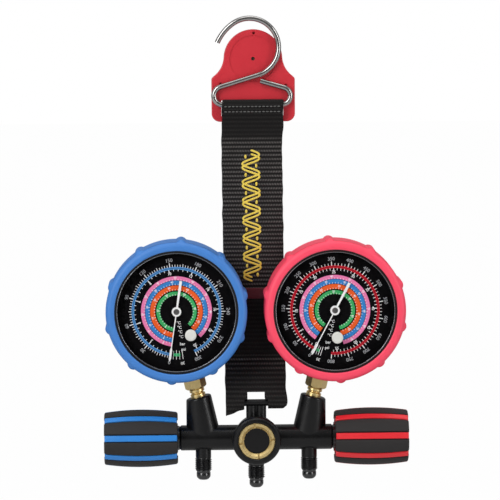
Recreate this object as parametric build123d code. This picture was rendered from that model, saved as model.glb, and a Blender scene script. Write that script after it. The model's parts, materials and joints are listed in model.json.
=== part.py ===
from build123d import *
import math
import os

# Two-valve refrigerant manifold with two 80 mm gauges, hung by a strap, a wire hook and a magnet plate.
# Every piece is drawn about the manifold bar: X along the bar, Y away from the reader of the dials, Z up.
# FRAME then moves it so that the origin lies where the hook's crown bears on whatever carries it.

# Manifold body
BAR_RADIUS = 8.3
BAR_HALF = 50.0
TOWER_TILT = 13.6
TOWER_FOOT_X = 31.1
TOWER_FOOT_OVAL = (34.3, 11.5, 7.9)
TOWER_TOP_UP = 28.2
TOWER_TOP_RADIUS = 8.3
HUB_RADIUS = 16.0
HUB_BACK_RADIUS = 13.6
HUB_RIM = 2.9
HUB_FRONT = -18.5
HUB_BACK = 9.5
TEE_Y = -4.5
TEE_Z = 23.6
TEE_RADIUS = 2.25
TEE_HALF = 17.0
POST_RADIUS = 3.3
PORT_X = 34.8
PORT_COLLAR_RADIUS = 5.1
PASSAGE_RADIUS = 2.0

# Flare ports: 1/4 in SAE flare, 7/16-20 thread
FLARE_RADIUS = 5.556
FLARE_THREAD = 9.0
FLARE_SHANK_RADIUS = 4.0
FLARE_BORE_RADIUS = 2.4
RELIEF_RADIUS = 4.6
RELIEF_LENGTH = 0.8
NOSE_RADIUS = 4.6
NOSE_LENGTH = 3.1
NOSE_TIP_RADIUS = 2.9
SIDE_PORT_TOP = -13.0
CENTRE_PORT_TOP = -18.4

# Sight glass
RING_OUTER = 12.0
RING_INNER = 8.4
RING_BEVEL = 1.5
RING_BACK = -14.6
GLASS_RADIUS = 10.6
GLASS_BACK = -12.0
SEAT_BACK = -11.0
SLOT_TURN = -7.0
SLOT_WIDTH = 1.3
SLOT_DEPTH = 2.0

# Valves, drawn on the +X side
CHAMBER_RADIUS = 4.2
SEAT_X = 24.0
CHAMBER_END = 38.5
BONNET_RADIUS = 6.0
STEM_RADIUS = 3.0
STEM_START = 28.1
STEM_END = 92.0
RUNNING_GAP = 0.06
SCREW_RADIUS = 1.5
SCREW_LENGTH = 7.0

# Knobs
KNOB_START = 51.5
KNOB_END = 100.0
KNOB_MID_RADIUS = 19.0
KNOB_END_RADIUS = 17.15
GRIP_THICKNESS = 2.6
RIBS = 9
RIB_WIDTH = 4.2
GROOVE = 0.6
RECESS_RADIUS = 12.5
CAP_RADIUS = 11.9
CAP_START = 96.5
FLAT_START = 64.0
FLAT_HEIGHT = 2.2
LOW_RIB_ANGLE = 4.3
HIGH_RIB_ANGLE = 5.0

# Gauges
GAUGE_UP = 87.35
BOOT_RADIUS = 46.0
BOOT_OPENING = 40.3
BOOT_FRONT = -20.0
BOOT_BACK = 12.0
BOOT_INNER = 42.3
BOOT_BACK_OPENING = 31.0
LUGS = 10
LUG_OUT = 44.4
LUG_RADIUS = 3.1
CASE_RADIUS = 41.2
CASE_WALL = 1.2
CASE_FRONT = -13.0
CASE_BACK = 10.2
BEZEL_OPENING = 38.4
BEZEL_RADIUS = 42.1
BEZEL_FRONT = -17.7
LENS_FRONT = -16.1
LENS_BACK = -14.1
PLUG_TURN = 162.2
PLUG_OUT = 17.5
PLUG_RADIUS = 3.2
LENS_RADIUS = 41.1
LENS_DOME = 1.2
LENS_DOME_RADIUS = 38.0
DIAL_FRONT = -11.0
DIAL_RADIUS = 39.7
DIAL_THICKNESS = 0.6
POINTER_Y = -12.9
POINTER_TIP = 32.7
POINTER_TAIL = 20.3
LOW_POINTER_ANGLE = 188.5
HIGH_POINTER_ANGLE = 208.0
HEX_ACROSS_FLATS = 12.4
HEX_TOP = -43.6
NECK_LENGTH = 5.8
NECK_RADIUS = 4.9
SOCKET_THREAD_RADIUS = 4.6

# Gauge movement: a toothed sector turns the pinion ten times as far
MODULE = 0.3
PINION_TEETH = 10
SECTOR_RATIO = 10
SECTOR_TEETH = 14
TOOTH_DEPTH = 0.6
TUBE_RADIUS = 27.0
TUBE_START = -70.0
TUBE_SWEEP = 275.0
TAIL_LENGTH = 8.0
TAIL_ANGLE = 200.0
FRAME_FRONT = -9.0
FRAME_BACK = -2.2
ARBOR_RADIUS = 0.7
PILLARS = ((-10.5, 2), (10.5, 2), (5, -21.5))

# Hook, bent from wire
WIRE_RADIUS = 1.75
HOOK_Y = 15.0
CROWN_X = -2.3
CROWN_Z = 255.6
CROWN_RADIUS = 19.0
CROWN_TURN = 163.0
FORE_CROWN_TURN = 35.0
TIP_RADIUS = 30.0
TIP_TURN = 31.0
DIAGONAL = 26.0
LEFT_LOOP_RADIUS = 6.05
HOOK_BAR = 38.45
RIGHT_LOOP_RADIUS = 5.67
RIGHT_LOOP_TURN = 164.0
TAIL = 16.2

# Strap and magnet plate
STRAP_WIDTH = 40.0
STRAP_X = -0.6
STRAP_Y = 14.75
FLAP_END = 90.0
TAB_HEIGHT = 7.4
WEBBING = 1.5
BAR_SLACK = 0.3
PLATE_FRONT = 17.3
PLATE_THICKNESS = 3.0
PLATE_HALF = 27.4
PLATE_BOTTOM = 206.8
PLATE_SHOULDER = 235.2
NECK_Z = 249.6
FLARE_HALF = 25.8
HEAD_Z = 248.1
HEAD_RADIUS = 19.25
PANEL_RADIUS = 15.4
PANEL_DEPTH = 0.6
CUP_RADIUS = 16.0
CUP_DEPTH = 7.0
CUP_WALL = 1.6
RIVET_RADIUS = 1.25

CROWN_INNER = CROWN_RADIUS - WIRE_RADIUS
SEAT_Z = CROWN_Z + math.sqrt(CROWN_INNER**2 - CROWN_X**2)
FRAME = Location((0, -HOOK_Y, -SEAT_Z))
SIDES = {"low": -1, "high": 1}


def rod_x(radius, start, end, y=0, z=0):
    """A round bar along X."""
    bar = Cylinder(radius, end - start, align=(Align.CENTER, Align.CENTER, Align.MIN))
    return Location((start, y, z)) * Rot(0, 90, 0) * bar


def rod_y(radius, start, end, x=0, z=0):
    """A round bar along Y."""
    bar = Cylinder(radius, end - start, align=(Align.CENTER, Align.CENTER, Align.MIN))
    return Location((x, start, z)) * Rot(-90, 0, 0) * bar


def rod_z(radius, start, end, x=0, y=0):
    """A round bar along Z."""
    bar = Cylinder(radius, end - start, align=(Align.CENTER, Align.CENTER, Align.MIN))
    return Location((x, y, start)) * bar


def block(x_span, y_span, z_span):
    """A box between two values on each axis."""
    size = [high - low for low, high in (x_span, y_span, z_span)]
    middle = [(high + low) / 2 for low, high in (x_span, y_span, z_span)]
    return Location(middle) * Box(*size)


def turned_y(points):
    """Turn a closed outline of (radius, y) points about the Y axis."""
    return revolve(make_face(Polyline(points, close=True)), Axis.Y)


def turned_x(points):
    """Turn a closed outline of (x, radius) points about the X axis."""
    return revolve(make_face(Polyline(points, close=True)), Axis.X)


def turned_z(points):
    """Turn a closed outline of (radius, z) points about the Z axis."""
    outline = Plane.XZ * make_face(Polyline(points, close=True))
    return revolve(outline, Axis.Z)


def plate_y(outline, front, thickness):
    """Extrude an outline of (x, z) coordinates backwards from its front face."""
    return extrude(Plane.XZ.offset(-front) * outline, -thickness)


def on_side(shape, side):
    """Mirror a piece drawn for the +X side when it belongs on the other one."""
    return shape if side > 0 else mirror(shape, about=Plane.YZ)


def in_gauge(shape, side):
    """Place a piece drawn about a dial centre, its stem pointing down, on its tilted tower."""
    return gauge_centre(side) * Rot(0, side * TOWER_TILT, 0) * shape


def on_pointer(shape, side, angle):
    """Place a piece drawn about a dial centre with its pointer up, at a clockwise angle."""
    return gauge_centre(side) * Rot(0, angle, 0) * shape


def gauge_centre(side):
    tilt = math.radians(TOWER_TILT)
    x = TOWER_FOOT_X + GAUGE_UP * math.sin(tilt)
    return Location((side * x, 0, GAUGE_UP * math.cos(tilt)))


def stem_frame(side):
    """The bar-level point of a gauge's stem axis, its Z along the stem."""
    return Location((side * TOWER_FOOT_X, 0, 0)) * Rot(0, side * TOWER_TILT, 0)


# ---- manifold body -------------------------------------------------------------------------------------


def tower():
    """The tapered tower of the +X gauge: an oval foot on the bar, lofted to a tilted round top."""
    foot_x, foot_half, foot_depth = TOWER_FOOT_OVAL
    foot = Location((foot_x, 0, 0)) * Ellipse(foot_half, foot_depth)
    top = stem_frame(1) * Location((0, 0, TOWER_TOP_UP)) * Circle(TOWER_TOP_RADIUS)
    solid = loft([foot.face(), top.face()])
    return fillet(solid.edges().sort_by(Axis.Z)[-1], 1.4)


def hub():
    """The round sight-glass boss: domed rim, drafted side, stepped seat and flow chamber."""
    seat, chamber, chamber_back = GLASS_RADIUS + 0.1, 7.9, -2.0
    return turned_y(
        [
            (0, HUB_BACK),
            (HUB_BACK_RADIUS - 2, HUB_BACK),
            (HUB_BACK_RADIUS, HUB_BACK - 2),
            (HUB_RADIUS, HUB_FRONT + HUB_RIM),
            (HUB_RADIUS - 0.2, HUB_FRONT + 1.9),
            (HUB_RADIUS - 0.8, HUB_FRONT + 1.0),
            (HUB_RADIUS - 1.7, HUB_FRONT + 0.3),
            (HUB_RADIUS - HUB_RIM, HUB_FRONT),
            (RING_OUTER + 0.4, HUB_FRONT),
            (RING_OUTER, HUB_FRONT + 0.4),
            (RING_OUTER, RING_BACK),
            (seat, RING_BACK),
            (seat, SEAT_BACK),
            (chamber, SEAT_BACK),
            (chamber, chamber_back),
            (0, chamber_back),
        ]
    )


def strap_post():
    """Two columns that rise from the boss, with a saddle for the tee bar."""
    top = TEE_Z - TEE_RADIUS + 0.55
    columns = Part() + [rod_z(POST_RADIUS, 12, top, x, TEE_Y) for x in (-POST_RADIUS, POST_RADIUS)]
    web = block((-POST_RADIUS, POST_RADIUS), (TEE_Y - 1.6, TEE_Y + 1.6), (12, top))
    return columns + web - rod_x(TEE_RADIUS, -TEE_HALF, TEE_HALF, TEE_Y, TEE_Z)


def valve_bore():
    """The bonnet socket, piston chamber and passages of the +X valve."""
    gauge_way = stem_frame(1) * rod_z(PASSAGE_RADIUS, 3, TOWER_TOP_UP - 8)
    gauge_thread = stem_frame(1) * rod_z(SOCKET_THREAD_RADIUS, TOWER_TOP_UP - 10.5, TOWER_TOP_UP + 5)
    return (
        rod_x(PASSAGE_RADIUS, 4, CHAMBER_END)
        + rod_x(CHAMBER_RADIUS, SEAT_X, CHAMBER_END + 1)
        + rod_x(BONNET_RADIUS, CHAMBER_END, BAR_HALF + 1)
        + gauge_way
        + gauge_thread
        + rod_z(PASSAGE_RADIUS, -8, 0, PORT_X)
        + rod_z(FLARE_SHANK_RADIUS, SIDE_PORT_TOP - 1, -7, PORT_X)
    )


def manifold_body():
    ends = chamfer(rod_x(BAR_RADIUS, -BAR_HALF, BAR_HALF).edges().filter_by(GeomType.CIRCLE), 0.8)
    body = ends + rod_y(HUB_BACK_RADIUS - 1, HUB_FRONT + 4, HUB_BACK - 1)
    body += strap_post() + rod_z(PORT_COLLAR_RADIUS, CENTRE_PORT_TOP, -10)
    body -= rod_y(RING_OUTER, HUB_FRONT - 1, -2.0)
    body += hub()
    for side in SIDES.values():
        body += on_side(tower(), side) + rod_z(PORT_COLLAR_RADIUS, SIDE_PORT_TOP, -2, side * PORT_X)
    for side in SIDES.values():
        body -= on_side(valve_bore(), side)
    body -= rod_z(PASSAGE_RADIUS, -16, -4)
    return body - rod_z(FLARE_SHANK_RADIUS, CENTRE_PORT_TOP - 1, CENTRE_PORT_TOP + 5.4)


def tee_bar():
    bar = rod_x(TEE_RADIUS, -TEE_HALF, TEE_HALF, TEE_Y, TEE_Z)
    return fillet(bar.edges().filter_by(GeomType.CIRCLE), 0.9)


def flare_port(x, top, shank):
    """A flare nipple: shank, thread, relief, 45 degree nose and bore, hanging from z = top."""
    nose_top = top - FLARE_THREAD - RELIEF_LENGTH
    cone_top = nose_top - NOSE_LENGTH
    end = cone_top - (NOSE_RADIUS - NOSE_TIP_RADIUS)
    nipple = turned_z(
        [
            (FLARE_BORE_RADIUS, top + shank),
            (FLARE_SHANK_RADIUS, top + shank),
            (FLARE_SHANK_RADIUS, top),
            (FLARE_RADIUS, top),
            (FLARE_RADIUS, top - FLARE_THREAD),
            (RELIEF_RADIUS - 0.2, top - FLARE_THREAD),
            (RELIEF_RADIUS - 0.2, nose_top),
            (NOSE_RADIUS, nose_top),
            (NOSE_RADIUS, cone_top),
            (NOSE_TIP_RADIUS, end),
            (FLARE_BORE_RADIUS, end),
        ]
    )
    return Location((x, 0, 0)) * nipple


def sight_ring():
    """The threaded retaining ring with a bevelled mouth and four spanner slots."""
    front = HUB_FRONT + 0.3
    ring = turned_y(
        [
            (RING_INNER, RING_BACK),
            (RING_OUTER, RING_BACK),
            (RING_OUTER, front + 0.5),
            (RING_OUTER - 0.5, front),
            (RING_INNER + RING_BEVEL, front),
            (RING_INNER, front + RING_BEVEL),
        ]
    )
    slot = block(
        (RING_INNER - 1, RING_OUTER + 1), (front - 1, front + SLOT_DEPTH), (-SLOT_WIDTH / 2, SLOT_WIDTH / 2)
    )
    for quarter in range(4):
        ring -= Rot(0, SLOT_TURN + 90 * quarter, 0) * slot
    return ring


def sight_glass():
    return chamfer(rod_y(GLASS_RADIUS, RING_BACK, GLASS_BACK).edges(), 0.3)


def sight_seal():
    return rod_y(GLASS_RADIUS, GLASS_BACK, SEAT_BACK) - rod_y(GLASS_RADIUS - 2.2, GLASS_BACK, SEAT_BACK)


# ---- valves --------------------------------------------------------------------------------------------


def stem_flat():
    """The flat that turns the stem with its knob."""
    return block((FLAT_START, STEM_END), (-STEM_RADIUS, STEM_RADIUS), (FLAT_HEIGHT, STEM_RADIUS + 1))


def stem():
    """The valve stem: a journal in the piston, a shank through the bonnet, a flat for the knob."""
    shaft = rod_x(STEM_RADIUS, STEM_START, STEM_END)
    return shaft - rod_x(SCREW_RADIUS, STEM_END - SCREW_LENGTH - 1, STEM_END) - stem_flat()


def bonnet():
    flange, neck, bore = 8.0, 5.6, STEM_RADIUS + RUNNING_GAP
    gland, gland_start, gland_end = 4.65, 43.9, 46.1
    return turned_x(
        [
            (CHAMBER_END, bore),
            (CHAMBER_END, BONNET_RADIUS),
            (BAR_HALF, BONNET_RADIUS),
            (BAR_HALF, flange - 0.6),
            (BAR_HALF + 0.6, flange),
            (BAR_HALF + 2.0, flange),
            (BAR_HALF + 2.5, flange - 0.5),
            (BAR_HALF + 2.5, neck),
            (BAR_HALF + 7.0, neck),
            (BAR_HALF + 7.0, bore),
            (gland_end, bore),
            (gland_end, gland),
            (gland_start, gland),
            (gland_start, bore),
        ]
    )


def stem_seal():
    ring = Plane.XY * Location((45, 3.86)) * Circle(0.76)
    return revolve(ring, Axis.X)


def piston():
    """The sliding piston: a cone that meets the seat, a seal groove and a socket for the stem's journal."""
    length = 9.5
    start = SEAT_X + 0.3
    radius = CHAMBER_RADIUS - RUNNING_GAP
    body = turned_x(
        [
            (start, 0),
            (start, 1.6),
            (start + 1.6, radius),
            (start + 3.0, radius),
            (start + 3.0, radius - 0.7),
            (start + 3.6, radius - 0.7),
            (start + 3.6, radius),
            (start + length, radius),
            (start + length, 0),
        ]
    )
    return body - rod_x(STEM_RADIUS + RUNNING_GAP, STEM_START - 0.1, start + length)


def barrel(inset, start, end):
    """A solid of the knob's barrel shape, a given depth under its surface."""
    middle = (KNOB_START + KNOB_END) / 2
    crown = ThreePointArc(
        (KNOB_START, KNOB_END_RADIUS - inset),
        (middle, KNOB_MID_RADIUS - inset),
        (KNOB_END, KNOB_END_RADIUS - inset),
    )
    sides = Polyline((KNOB_END, KNOB_END_RADIUS - inset), (KNOB_END, 0), (KNOB_START, 0))
    shut = Line((KNOB_START, 0), (KNOB_START, KNOB_END_RADIUS - inset))
    solid = revolve(make_face([crown, *sides.edges(), shut]), Axis.X)
    return solid & rod_x(2 * KNOB_MID_RADIUS, start, end)


def rib_rays(width, first):
    """Nine radial slabs, one for each coloured rib; the first lies `first` degrees above the front."""
    slab = block((KNOB_START - 1, KNOB_END + 1), (-2 * KNOB_MID_RADIUS, -6), (-width / 2, width / 2))
    return [Rot(first + 360 / RIBS * index, 0, 0) * slab for index in range(RIBS)]


def knob_core(first):
    """The coloured moulding: barrel shell with ribs outside, and hub and webs inside."""
    face = KNOB_START + 0.5
    web_start, floor = 66.0, 90.0
    core = barrel(GRIP_THICKNESS, face, KNOB_END - 0.6)
    core += Part() + [barrel(0.15, face, KNOB_END - 0.6) & ray for ray in rib_rays(RIB_WIDTH, first)]
    core -= rod_x(RECESS_RADIUS, face - 1, floor)
    core += rod_x(6.2, 62, floor + 1)
    web = block((web_start, floor + 1), (5, RECESS_RADIUS + 0.5), (-0.8, 0.8))
    core += Part() + [Rot(60 * index, 0, 0) * web for index in range(6)]
    core -= rod_x(CAP_RADIUS, CAP_START, KNOB_END)
    core -= rod_x(4.2, STEM_END, CAP_START + 0.5)
    return core - (rod_x(STEM_RADIUS, 60, STEM_END) - stem_flat())


def knob_grip(first):
    """Nine rubber pads between the ribs."""
    sleeve = barrel(0, KNOB_START, KNOB_END - 0.3) - barrel(GRIP_THICKNESS, KNOB_START - 1, KNOB_END)
    cut = Part() + rib_rays(RIB_WIDTH + 2 * GROOVE, first)
    return sleeve - cut


def knob_cap():
    face, bevel, dimple = KNOB_END - 0.6, 0.6, 4.0
    return turned_x(
        [
            (CAP_START, 0),
            (CAP_START, CAP_RADIUS),
            (face - bevel, CAP_RADIUS),
            (face, CAP_RADIUS - bevel),
            (face, dimple),
            (face - 0.5, dimple - 0.8),
            (face - 0.5, 0),
        ]
    )


def knob_screw():
    head = rod_x(3.4, STEM_END, STEM_END + 2.2)
    slot = block((STEM_END + 1.2, STEM_END + 3), (-4, 4), (-0.4, 0.4))
    return head + rod_x(SCREW_RADIUS, STEM_END - SCREW_LENGTH, STEM_END) - slot


# ---- gauges --------------------------------------------------------------------------------------------


def boot():
    """The rubber boot: a rounded band that laps over the bezel, with grip lugs and a hole for the stem."""
    half = make_face(
        FilletPolyline(
            (BOOT_OPENING, BOOT_FRONT),
            (BOOT_RADIUS, BOOT_FRONT),
            (BOOT_RADIUS, BOOT_BACK),
            (BOOT_BACK_OPENING, BOOT_BACK),
            (BOOT_BACK_OPENING, BOOT_BACK - 1.5),
            (BOOT_INNER, BOOT_BACK - 1.5),
            (BOOT_INNER, BOOT_FRONT + 2.1),
            (BOOT_OPENING, BOOT_FRONT + 2.1),
            radius=(0.6, 3.4, 4.5, 0.5, 0.5, 0.6, 0.6, 0.6),
            close=True,
        )
    )
    shell = revolve(half, Axis.Y)
    lug = rod_y(LUG_RADIUS, BOOT_FRONT + 2.6, BOOT_BACK - 3.6, LUG_OUT)
    lug = fillet(lug.edges().filter_by(GeomType.CIRCLE), 1.5)
    lug -= rod_y(BOOT_INNER + 0.6, BOOT_FRONT, BOOT_BACK)
    shell += Part() + [Rot(0, 360 / LUGS * index, 0) * lug for index in range(LUGS)]
    return shell - rod_z(8.8, -60, -38)


def case():
    """The pressed steel case, open to the front, with a hole for the socket."""
    cup = turned_y(
        [
            (0, CASE_BACK),
            (CASE_RADIUS - 2, CASE_BACK),
            (CASE_RADIUS, CASE_BACK - 2),
            (CASE_RADIUS, CASE_FRONT),
            (CASE_RADIUS - CASE_WALL, CASE_FRONT),
            (CASE_RADIUS - CASE_WALL, CASE_BACK - 2.4),
            (CASE_RADIUS - 2.4, CASE_BACK - CASE_WALL),
            (0, CASE_BACK - CASE_WALL),
        ]
    )
    return cup - rod_z(6.0, -45, -35)


def bezel():
    skirt = -7.0
    return turned_y(
        [
            (BEZEL_OPENING, BEZEL_FRONT + 0.5),
            (BEZEL_OPENING + 0.5, BEZEL_FRONT),
            (BEZEL_RADIUS - 0.7, BEZEL_FRONT),
            (BEZEL_RADIUS, BEZEL_FRONT + 0.9),
            (BEZEL_RADIUS, skirt),
            (CASE_RADIUS, skirt),
            (CASE_RADIUS, LENS_FRONT),
            (BEZEL_OPENING, LENS_FRONT),
        ]
    )


def plug_place():
    angle = math.radians(PLUG_TURN)
    return PLUG_OUT * math.sin(angle), PLUG_OUT * math.cos(angle)


def lens():
    """A slightly domed clear disc with a hole for the plug."""
    u, v = plug_place()
    foot, crown = LENS_DOME_RADIUS, LENS_FRONT - LENS_DOME
    dome = ThreePointArc((-foot, LENS_FRONT), (0, crown), (foot, LENS_FRONT))
    sides = Polyline(
        (foot, LENS_FRONT),
        (LENS_RADIUS, LENS_FRONT),
        (LENS_RADIUS, LENS_BACK),
        (-LENS_RADIUS, LENS_BACK),
        (-LENS_RADIUS, LENS_FRONT),
        (-foot, LENS_FRONT),
    )
    half = make_face([dome, *sides.edges()]) & Location((25, -15)) * Rectangle(50, 30)
    return revolve(half, Axis.Y) - rod_y(PLUG_RADIUS, crown - 1, LENS_BACK + 1, u, v)


def lens_plug():
    """The rubber vent plug: a low head outside the lens and a barb inside it."""
    u, v = plug_place()
    head, front, barb = 3.7, LENS_FRONT - LENS_DOME, LENS_BACK + 0.5
    plug = turned_y(
        [
            (0, front - 1.0),
            (head - 0.8, front - 1.0),
            (head, front - 0.5),
            (head, front),
            (PLUG_RADIUS, front),
            (PLUG_RADIUS, LENS_BACK),
            (PLUG_RADIUS + 0.4, LENS_BACK),
            (PLUG_RADIUS, barb),
            (0, barb),
        ]
    )
    return Location((u, 0, v)) * plug


def lens_seal():
    return rod_y(LENS_RADIUS, LENS_BACK, CASE_FRONT) - rod_y(LENS_RADIUS - 1.2, LENS_BACK, CASE_FRONT)


def dial():
    """The dial plate on three stands that meet the movement's pillars."""
    back = DIAL_FRONT + DIAL_THICKNESS
    stands = [rod_y(1.2, back, FRAME_FRONT, u, v) for u, v in PILLARS]
    return rod_y(DIAL_RADIUS, DIAL_FRONT, back) + stands - rod_y(2.2, DIAL_FRONT - 1, back + 0.4)


def pointer():
    """A balanced pointer with a broad end blade and a counterweight tail, drawn pointing up."""
    blade = make_face(
        Polyline(
            (0.35, 3.0), (0.3, 24.0), (0.75, 25.5), (0.75, 31.2), (0.2, POINTER_TIP), (-0.2, POINTER_TIP),
            (-0.75, 31.2), (-0.75, 25.5), (-0.3, 24.0), (-0.35, 3.0), (-0.6, -3.0), (-0.9, -POINTER_TAIL),
            (0.9, -POINTER_TAIL), (0.6, -3.0),
            close=True,
        )
    )
    arm = plate_y(blade, POINTER_Y, 0.45)
    return arm + rod_y(3.1, POINTER_Y - 0.5, POINTER_Y + 0.9) - rod_y(1.9, -15, -10)


def tooth(radius, outwards, direction):
    """One tapered tooth outline on a circle, pointing away from the centre at an angle."""
    root, crest = 0.24, 0.1
    base = radius + outwards - TOOTH_DEPTH
    tip = radius + outwards
    outline = Polyline((base - 0.1, -root), (tip, -crest), (tip, crest), (base - 0.1, root), close=True)
    return Rot(0, 0, direction) * make_face(outline)


def pinion():
    """The arbor: toothed pinion, journals and the slotted head that carries the pointer."""
    pitch = MODULE * PINION_TEETH / 2
    profile = Circle(pitch + 0.24 - TOOTH_DEPTH)
    for index in range(PINION_TEETH):
        profile += tooth(pitch, 0.24, -90 + 360 / PINION_TEETH * (index + 0.5))
    gear = plate_y(profile, -6.8, 2.4)
    arbor = rod_y(ARBOR_RADIUS, -12, FRAME_BACK) + rod_y(1.9, POINTER_Y - 0.7, POINTER_Y + 0.9)
    head = arbor - block((-2, 2), (POINTER_Y - 1, POINTER_Y - 0.1), (-0.3, 0.3))
    return head + gear


def sector_pivot():
    return -(MODULE * PINION_TEETH / 2) * (SECTOR_RATIO + 1)



def tail_pin():
    angle = math.radians(TAIL_ANGLE)
    return TAIL_LENGTH * math.cos(angle), sector_pivot() + TAIL_LENGTH * math.sin(angle)


def sector():
    """The toothed sector on its arbor, with an open web and a tail for the link."""
    pitch = MODULE * PINION_TEETH / 2 * SECTOR_RATIO
    step = 360 / (PINION_TEETH * SECTOR_RATIO)
    edge = pitch + 0.24 - TOOTH_DEPTH
    first, last = 90 + 2 * step, 90 - (SECTOR_TEETH - 3) * step
    start = Vector(edge, 0).rotate(Axis.Z, last - step / 2)
    middle = Vector(edge, 0).rotate(Axis.Z, (first + last) / 2)
    end = Vector(edge, 0).rotate(Axis.Z, first + step / 2)
    rim = make_face([Line((0, 0), start), ThreePointArc(start, middle, end), Line(end, (0, 0))])
    inner, outer, margin = 0.32, 0.71, 0.16
    low_side, high_side = start + (end - start) * margin, end + (start - end) * margin
    window = make_face(
        [
            Line(low_side * inner, low_side * outer),
            ThreePointArc(low_side * outer, middle * outer, high_side * outer),
            Line(high_side * outer, high_side * inner),
            Line(high_side * inner, low_side * inner),
        ]
    )
    web = rim - window
    for index in range(SECTOR_TEETH):
        web += tooth(pitch, 0.24, first - step * index)
    web += Circle(2.3)
    web += Rot(0, 0, TAIL_ANGLE) * Location((TAIL_LENGTH / 2, 0)) * SlotOverall(TAIL_LENGTH + 2.6, 2.4)
    pivot = sector_pivot()
    u, v = tail_pin()
    plate = Location((0, 0, pivot)) * plate_y(web, -6.3, 1.2)
    return plate + rod_y(ARBOR_RADIUS, FRAME_FRONT, FRAME_BACK, 0, pivot) + rod_y(0.5, -7.5, -6.0, u, v)


def tube_tip():
    angle = math.radians(TUBE_START + TUBE_SWEEP)
    return TUBE_RADIUS * math.cos(angle), TUBE_RADIUS * math.sin(angle)


def link():
    """The flat link from the sector's tail towards the tube's tip."""
    start = Vector(*tail_pin())
    end = Vector(*tube_tip())
    turn = math.degrees(math.atan2(end.Y - start.Y, end.X - start.X))
    reach = (end - start).length
    middle = (start + end) * 0.5
    bar = Location((middle.X, middle.Y)) * Rot(0, 0, turn) * SlotOverall(reach + 2.2, 1.5)
    bar += Location((start.X, start.Y)) * Circle(1.3) + Location((end.X, end.Y)) * Circle(1.3)
    bar -= Location((start.X, start.Y)) * Circle(0.56) + Location((end.X, end.Y)) * Circle(0.6)
    return plate_y(bar, -7.4, 0.8)


def bourdon_tube():
    """The flattened C-shaped tube with its closed tip block."""
    section = Location((TUBE_RADIUS, 2.0)) * Ellipse(1.5, 4.0)
    tube = Rot(0, -TUBE_START, 0) * revolve(section, Axis.Y, -TUBE_SWEEP)
    u, v = tube_tip()
    return tube + block((u - 1.9, u + 1.9), (-6.3, 5.0), (v - 2.4, v + 1.0))


def movement_frame():
    """Two brass plates on three pillars that carry the arbors."""
    pivot = sector_pivot()
    top, corner = [(-13, 5.5), (13, 5.5), (13, -4)], 2.4
    front = make_face(FilletPolyline(*top, (8, -25), (2, -25), (-13, -8), radius=corner, close=True))
    back = make_face(FilletPolyline(*top, (9, -32), (-7, -32), (-13, -8), radius=corner, close=True))
    bearing = ARBOR_RADIUS + RUNNING_GAP
    plates = plate_y(front, FRAME_FRONT, 1.0) + plate_y(back, FRAME_BACK - 1.0, 1.0)
    pillars = [rod_y(1.3, FRAME_FRONT + 0.5, FRAME_BACK - 0.3, u, v) for u, v in PILLARS]
    return plates + pillars - rod_y(bearing, -10, 0) - rod_y(bearing, -10, 0, 0, pivot)


def gauge_socket():
    """The brass socket: block for the tube and movement, hexagon, ringed neck, threaded end and bore."""
    hexagon = RegularPolygon(HEX_ACROSS_FLATS / 2, 6, major_radius=False)
    tower_top = TOWER_TOP_UP - GAUGE_UP
    hex_bottom, corner = tower_top + NECK_LENGTH, HEX_ACROSS_FLATS / 2 / math.cos(math.pi / 6)
    nut = Location((0, 0, hex_bottom)) * extrude(hexagon, HEX_TOP - hex_bottom)
    nut &= turned_z(
        [
            (0, hex_bottom),
            (corner - 1.1, hex_bottom),
            (corner, hex_bottom + 0.9),
            (corner, HEX_TOP),
            (0, HEX_TOP),
        ]
    )
    neck = turned_z(
        [
            (0, hex_bottom),
            (NECK_RADIUS - 0.5, hex_bottom),
            (NECK_RADIUS, hex_bottom - 0.8),
            (NECK_RADIUS, hex_bottom - 2.2),
            (NECK_RADIUS - 0.9, hex_bottom - 2.8),
            (NECK_RADIUS - 0.9, hex_bottom - 3.2),
            (NECK_RADIUS, hex_bottom - 3.8),
            (NECK_RADIUS, tower_top),
            (0, tower_top),
        ]
    )
    socket = nut + neck + rod_z(SOCKET_THREAD_RADIUS, tower_top - 10, tower_top) + rod_z(6.0, HEX_TOP, -33)
    socket += block((-9, 13), (-2.2, 6.4), (-35, -23))
    socket -= rod_z(PASSAGE_RADIUS, tower_top - 11, -26)
    return socket - bourdon_tube()


# ---- hook, strap and magnet plate ----------------------------------------------------------------------


def hook_line():
    """The wire's middle line: tip, front of the crown, crown, diagonal, left loop, bar, right loop, tail."""
    apex = (CROWN_X, CROWN_Z + CROWN_RADIUS)
    crown = JernArc(apex, (1, 0), CROWN_RADIUS, -CROWN_TURN)
    diagonal = PolarLine(crown @ 1, DIAGONAL, direction=crown % 1)
    left_loop = JernArc(diagonal @ 1, diagonal % 1, LEFT_LOOP_RADIUS, CROWN_TURN)
    bar = PolarLine(left_loop @ 1, HOOK_BAR, direction=left_loop % 1)
    right_loop = JernArc(bar @ 1, bar % 1, RIGHT_LOOP_RADIUS, RIGHT_LOOP_TURN)
    tail = PolarLine(right_loop @ 1, TAIL, direction=right_loop % 1)
    fore_crown = JernArc(apex, (-1, 0), CROWN_RADIUS, FORE_CROWN_TURN)
    tip = JernArc(fore_crown @ 1, fore_crown % 1, TIP_RADIUS, TIP_TURN)
    return [tip, fore_crown, crown, diagonal, left_loop, bar, right_loop, tail]


def hook_bar_z():
    """The height of the straight bar that carries the strap."""
    return (hook_line()[5] @ 0).Y


def hook():
    """The bent wire hook."""
    path = Plane.XZ.offset(-HOOK_Y) * Wire([piece.edge() for piece in hook_line()])
    section = Plane(origin=path @ 0, z_dir=path % 0) * Circle(WIRE_RADIUS)
    return sweep(section, path)


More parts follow.
